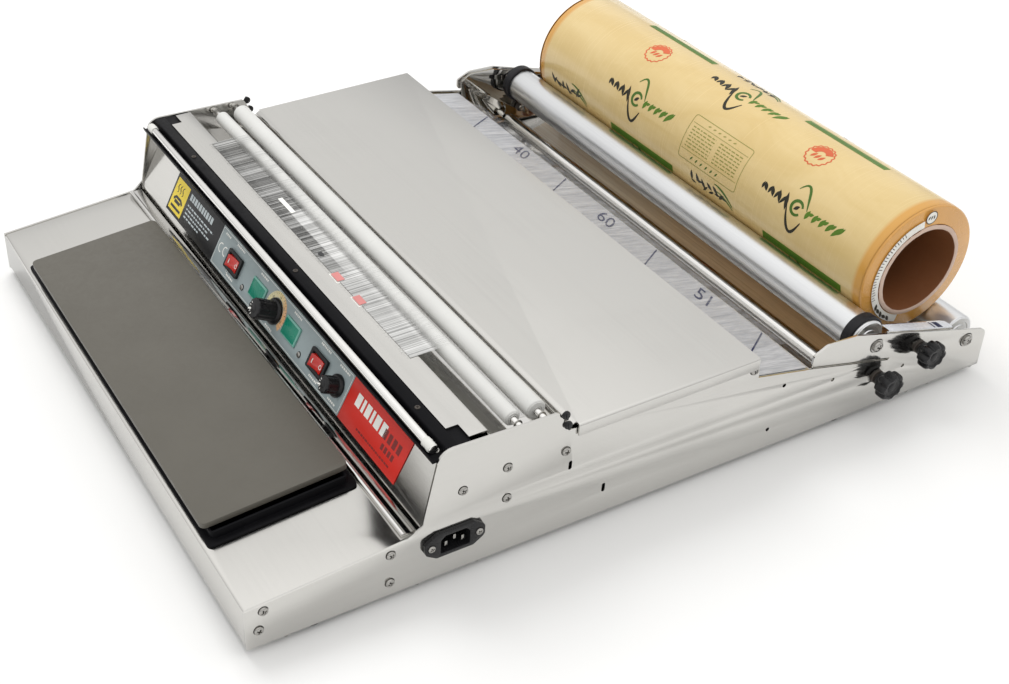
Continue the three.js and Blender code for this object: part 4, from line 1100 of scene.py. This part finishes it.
def sprig(x, v):
    """A mark of leaves and two curls, in green and black."""
    if not whole(x, 52):
        return
    for k in range(5):
        size = (9.5, 9.5, 10.0, 10.5, 14.5)[k]
        inks["green"].leaf(x + 13 + k * 8.6, v + 0.5 * k, size, 4.2, 74 - 5 * k)
        inks["green"].leaf(x + 16.4 + k * 8.6, v + 1.8 + 0.5 * k, size * 0.7, 3.0, 20 + 9 * k)
    for k in range(4):
        size = (16.0, 11.5, 9.5, 8.5)[k]
        inks["soot"].leaf(x - 13 - k * 8.8, v + 0.3 * k, size, 4.0, 104 + 6 * k)
        inks["soot"].leaf(x - 16.5 - k * 8.8, v + 0.3 * k, size * 0.8, 3.0, 60 + 8 * k)
    inks["leaf"].line(circle(x, v, 6.2, 18, 20, 300), 3.0, taper=0.3)
    inks["soot"].leaf(x, v, 7.5, 3.2, 40)
    along = [k / 12 for k in range(13)]
    inks["leaf"].line([(x + 11 - 19 * t, v + 2 + 19 * math.sin(t * 2.4)) for t in along], 2.6, taper=0.7)
    inks["soot"].line([(x - 11 + 21 * t, v - 2 - 20 * math.sin(t * 2.75)) for t in along], 3.0, taper=0.7)


def seal(x, v):
    """A scalloped stamp with a ring, half of it filled."""
    if not whole(x, 14):
        return
    angles = [math.radians(k * 5.625) for k in range(64)]
    outline = [polar(x, v, 12.6 + 0.7 * math.cos(16 * angle), angle) for angle in angles]
    inks["seal"].line(outline, 1.3, closed=True)
    inks["seal"].disc(x, v, 11.2, 4.8, 20, 30, 150)
    for k in range(3):
        inks["seal"].leaf(x - 4.5 + 4.5 * k, v - 2.5, 7.5, 3.0, 60)


def table_box(x, v):
    """A ruled box of small print, as rows of dashes."""
    if not whole(x, 42):
        return
    inks["olive"].line(box_outline(x - 40, x + 40, v - 21, v + 21, 2.5), 0.7, closed=True)
    inks["olive"].line([(x - 38, v - 12), (x + 38, v - 12)], 0.5)
    inks["olive"].line([(x - 38, v + 13.5), (x + 38, v + 13.5)], 0.5)
    for row in range(7):
        for left, right in ((x - 35, x - 3), (x + 3, x + 34)):
            inks["olive"].dashes(tracer, left, right, (1.6, 5.5), v - 9 + row * 3.1, 1.1, 1.4, True)
    for k in range(6):
        inks["leaf"].leaf(x - 22 + 7 * k, v - 16.5, 5.0, 1.6, 55)
        inks["olive"].leaf(x - 18.5 + 7 * k, v + 17.2, 4.0, 1.3, 20)


def grass(x, v):
    """A dark tuft with a green stroke over it."""
    if not whole(x, 34):
        return
    for k in range(6):
        inks["soot"].leaf(x - 28 + 8.5 * k, v + tracer.uniform(-2, 2), tracer.uniform(9, 14), 3.6,
                          tracer.uniform(30, 150))
        inks["soot"].leaf(x - 25 + 8.5 * k, v - 2 + tracer.uniform(-2, 2), tracer.uniform(7, 11), 2.6,
                          tracer.uniform(-20, 60))
    along = [k / 8 for k in range(9)]
    inks["leaf"].line([(x + 4 + 26 * t, v + 8 - 12 * t * t) for t in along], 2.4, taper=0.6)
    inks["leaf"].line([(x + 8 + 22 * t, v + 2 - 9 * t * t) for t in along], 2.0, taper=0.6)


def band(x, v):
    """A green bar with small print in it."""
    if not whole(x, 50):
        return
    inks["green"].bar(x - 49, x + 49, v - 4.2, v + 4.2)
    inks["leaf"].dashes(tracer, x - 44, x + 44, (1.4, 3.2), v - 1.2, 2.4, 1.1)


for turn in range(3):
    for repeat in range(-2, 4):
        shift = -41.0 * turn + PRINT_PITCH * repeat
        around = 120.0 * turn
        band(shift - 61, degrees_round(around - 16))
        grass(shift + 45, degrees_round(around - 8))
        sprig(shift - 80, degrees_round(around + 25))
        table_box(shift + 35, degrees_round(around + 24))
        seal(shift - 100, degrees_round(around + 73))
        sprig(shift + 13, degrees_round(around + 83))
for ink, finish in ROLL_INKS.items():
    inks[ink].piece(f"roll_print_{ink}", finish, "film_roll", "film")

# Core ends: a pale cut rim, and a white paper ring with ticks on the right end of the winding.
RIM = plastic("core_rim", (0.56, 0.42, 0.34), 0.8, 0.5, 500)
PAPER = plastic("label_paper", (0.74, 0.73, 0.68), 0.5, 0.1)
AMBER = plastic("amber_end", (0.60, 0.30, 0.065), 0.24, 0.1, coat=0.5)
CORE_LOW, CORE_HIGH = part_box("film_core")
TAG_UP, TAG_R = 50.6, 5.6


def roll_end(side, x):
    return axes_at(Vector((x, ROLL_CENTRE.y, ROLL_CENTRE.z)), (0, side, 0), (side, 0, 0))


for side_name, side in SIDES:
    place = roll_end(side, CORE_HIGH.x if side > 0 else CORE_LOW.x)
    rim = Sketch()
    rim.turned(place, [(38.3, -0.6), (38.5, 0.25), (39.6, 0.5), (41.6, 0.45), (42.2, 0.2), (42.3, -0.6)], 96,
               lambda angle, height, radius: 0.10 * math.sin(9 * angle) + 0.07 * math.sin(23 * angle))
    rim.piece(f"core_rim_{side_name}", RIM, "film_roll", "cardboard")
    face = roll_end(side, ROLL_HIGH.x if side > 0 else ROLL_LOW.x)
    layers = Sketch()
    rows = [(58.6, -0.2), (58.3, 0.6)]
    for k in range(30):
        rows.append((57.6 - k * 0.5, 1.1 + 2.3 * k / 29 + 0.14 * (k % 2)))
    layers.turned(face, rows + [(42.6, 3.4), (42.6, 0.0)], 96)
    layers.piece(f"winding_layers_{side_name}", AMBER, "film_roll", "film")
    if side > 0:
        ring = Print(flat_on(face, 3.62), 2.0)
        ring.disc(0, 0, 49.6, 42.9, 48, 98, 156)
        ring.disc(0, TAG_UP, TAG_R, 0.0, 24)
        ring.piece("end_label", PAPER, "film_roll", "film")
        marks = Print(flat_on(face, 3.72), 2.0)
        for k in range(24):
            inner = (45.4, 46.6, 46.0)[k % 3]
            marks.line(spoke(0, 0, math.radians(122 + k * 3.4), inner, 49.3), 0.7)
        for k in range(5):
            angle = 212 + k * 7
            marks.leaf(*polar(0, 0, 47.2, math.radians(angle)), 7.5, 3.0, angle + 60 + 25 * (k % 2))
        marks.line(circle(0, TAG_UP, TAG_R + 0.1, 24), 0.8, closed=True)
        for k in range(3):
            marks.leaf(-2.6 + 2.6 * k, TAG_UP, 4.2, 1.5, 60 + 15 * k)
        marks.piece("end_label_marks", ROLL_INKS["soot"], "film_roll", "film")

# A strip of protective film left on the right roll guide, with a blue mark near its end.
STRIP = plastic("protective_strip", (0.74, 0.77, 0.82), 0.25, 0.05, coat=0.5)


def along_flange(steps, lifts):
    """Rows over the guide's sloping flange, at steps of y, through points of (x, lift)."""
    return [[at(x, y, 75.1 - (y - 575) * 22.0 / 76 + lift) for x, lift in lifts] for y in steps]


strip = Sketch()
strip.sheet(along_flange([575 + 76.5 * k / 12 for k in range(13)],
                         ((270.6, -1.6), (270.9, 0.35), (266.0, 0.5), (261.6, 0.1))))
strip.piece("guide_strip", STRIP, "base", "film")
mark = Sketch()
for steps in ((633.5, 636.5, 639.5), (629.0, 629.8, 630.6)):
    mark.sheet(along_flange(steps, ((270.95, 0.55), (266.0, 0.75), (263.0, 0.5))))
mark.piece("guide_strip_mark", BLUE_INK, "base", "film")



def roller_plugs(kind, label, y, z, profile, segments, finish, slot):
    """Turned plugs in both ends of a roller."""
    low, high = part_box(f"{kind}_roller_{label}")
    plugs = Sketch()
    for end, side in ((high.x / MM, 1), (low.x / MM, -1)):
        plugs.turned(end_place(side, end, y, z), profile, segments)
    plugs.piece(f"{kind}_roller_plugs_{label}", finish, f"{kind}_roller_{label}", slot)


# Guide rollers also have clips on their shafts; support rollers have a bearing face round theirs.
for label, y, radius in (("front", GUIDE_FRONT_Y, GUIDE_FRONT_R), ("rear", 240.0, 8.2)):
    roller_plugs("guide", label, y, GUIDE_Z,
                 [(radius - 1.0, 0), (radius - 1.2, 0.5), (4.4, 0.5), (4.2, 0.1), (3.4, 0.1), (3.3, 0.9),
                  (2.95, 0.9), (2.95, 0)], 40, WHITE_PLASTIC, "white_plastic")
    clips = Sketch()
    for side in (-1, 1):
        clips.turned(end_place(side, side * 265.6, y, GUIDE_Z),
                     [(2.55, 0), (3.6, 0), (3.6, 0.7), (2.55, 0.7)], 28)
    clips.piece(f"guide_shaft_clips_{label}", SCREW_STEEL, "base", "polished_steel")
for label, (y, z) in zip(("front", "rear"), SHAFT_ENDS):
    roller_plugs("support", label, y, z,
                 [(15.4, 0), (15.0, 0.6), (11.6, 0.6), (11.0, 0.15), (8.4, 0.15), (8.0, 0.9), (4.9, 0.9),
                  (4.8, 0.0)], 48, SATIN, "satin_aluminium")


# ------------------------------------------------------------------ stage and light
FLOOR_HALF, FLOOR_Z = 6.0, -0.0002


def make_stage():
    """A plain pale floor."""
    grid = bmesh.new()
    corners = [grid.verts.new((x * FLOOR_HALF, y * FLOOR_HALF, FLOOR_Z))
               for x, y in ((-1, -1), (1, -1), (1, 1), (-1, 1))]
    grid.faces.new(corners)
    mesh = bpy.data.meshes.new("floor")
    grid.to_mesh(mesh)
    grid.free()
    floor = bpy.data.objects.new("floor", mesh)
    bpy.context.scene.collection.objects.link(floor)
    shader = Shader("floor")
    drift = shader.noise(shader.mapped((3, 3, 3)), detail=4)
    shader.drive("Base Color", shader.ramp(drift, [(0.3, (0.82, 0.82, 0.815)), (0.7, (0.84, 0.84, 0.835))]))
    shader.set(Roughness=0.7)
    mesh.materials.append(shader.material)


def make_lamp():
    """One soft square lamp that metal doesn't mirror."""
    data = bpy.data.lights.new("key", "AREA")
    data.shape = "RECTANGLE"
    data.size = 1.4
    data.size_y = 1.4
    data.energy = 26
    lamp = bpy.data.objects.new("key", data)
    bpy.context.scene.collection.objects.link(lamp)
    lamp.location = (-1.3, -0.2, 2.4)
    lamp.rotation_euler = (-lamp.location).to_track_quat("-Z", "Y").to_euler()
    lamp.visible_glossy = False


def make_light():
    """A white tent: bright above, a little darker low down, with a lamp in it."""
    world = bpy.data.worlds.new("studio")
    bpy.context.scene.world = world
    world.use_nodes = True
    tree = world.node_tree
    coords = tree.nodes.new("ShaderNodeTexCoord")
    split = tree.nodes.new("ShaderNodeSeparateXYZ")
    tree.links.new(coords.outputs["Generated"], split.inputs["Vector"])
    ramp = tree.nodes.new("ShaderNodeValToRGB")
    levels = [(0.0, 0.55), (0.06, 0.62), (0.3, 0.92), (0.62, 1.0), (0.85, 1.16), (1.0, 1.3)]
    set_stops(ramp, [(position, (level, level * 0.995, level * 0.985)) for position, level in levels])
    tree.links.new(split.outputs["Z"], ramp.inputs["Fac"])
    background = tree.nodes["Background"]
    tree.links.new(ramp.outputs["Color"], background.inputs["Color"])
    background.inputs["Strength"].default_value = 1.0
    make_lamp()
    bpy.context.scene.view_settings.view_transform = "Standard"


make_stage()
make_light()
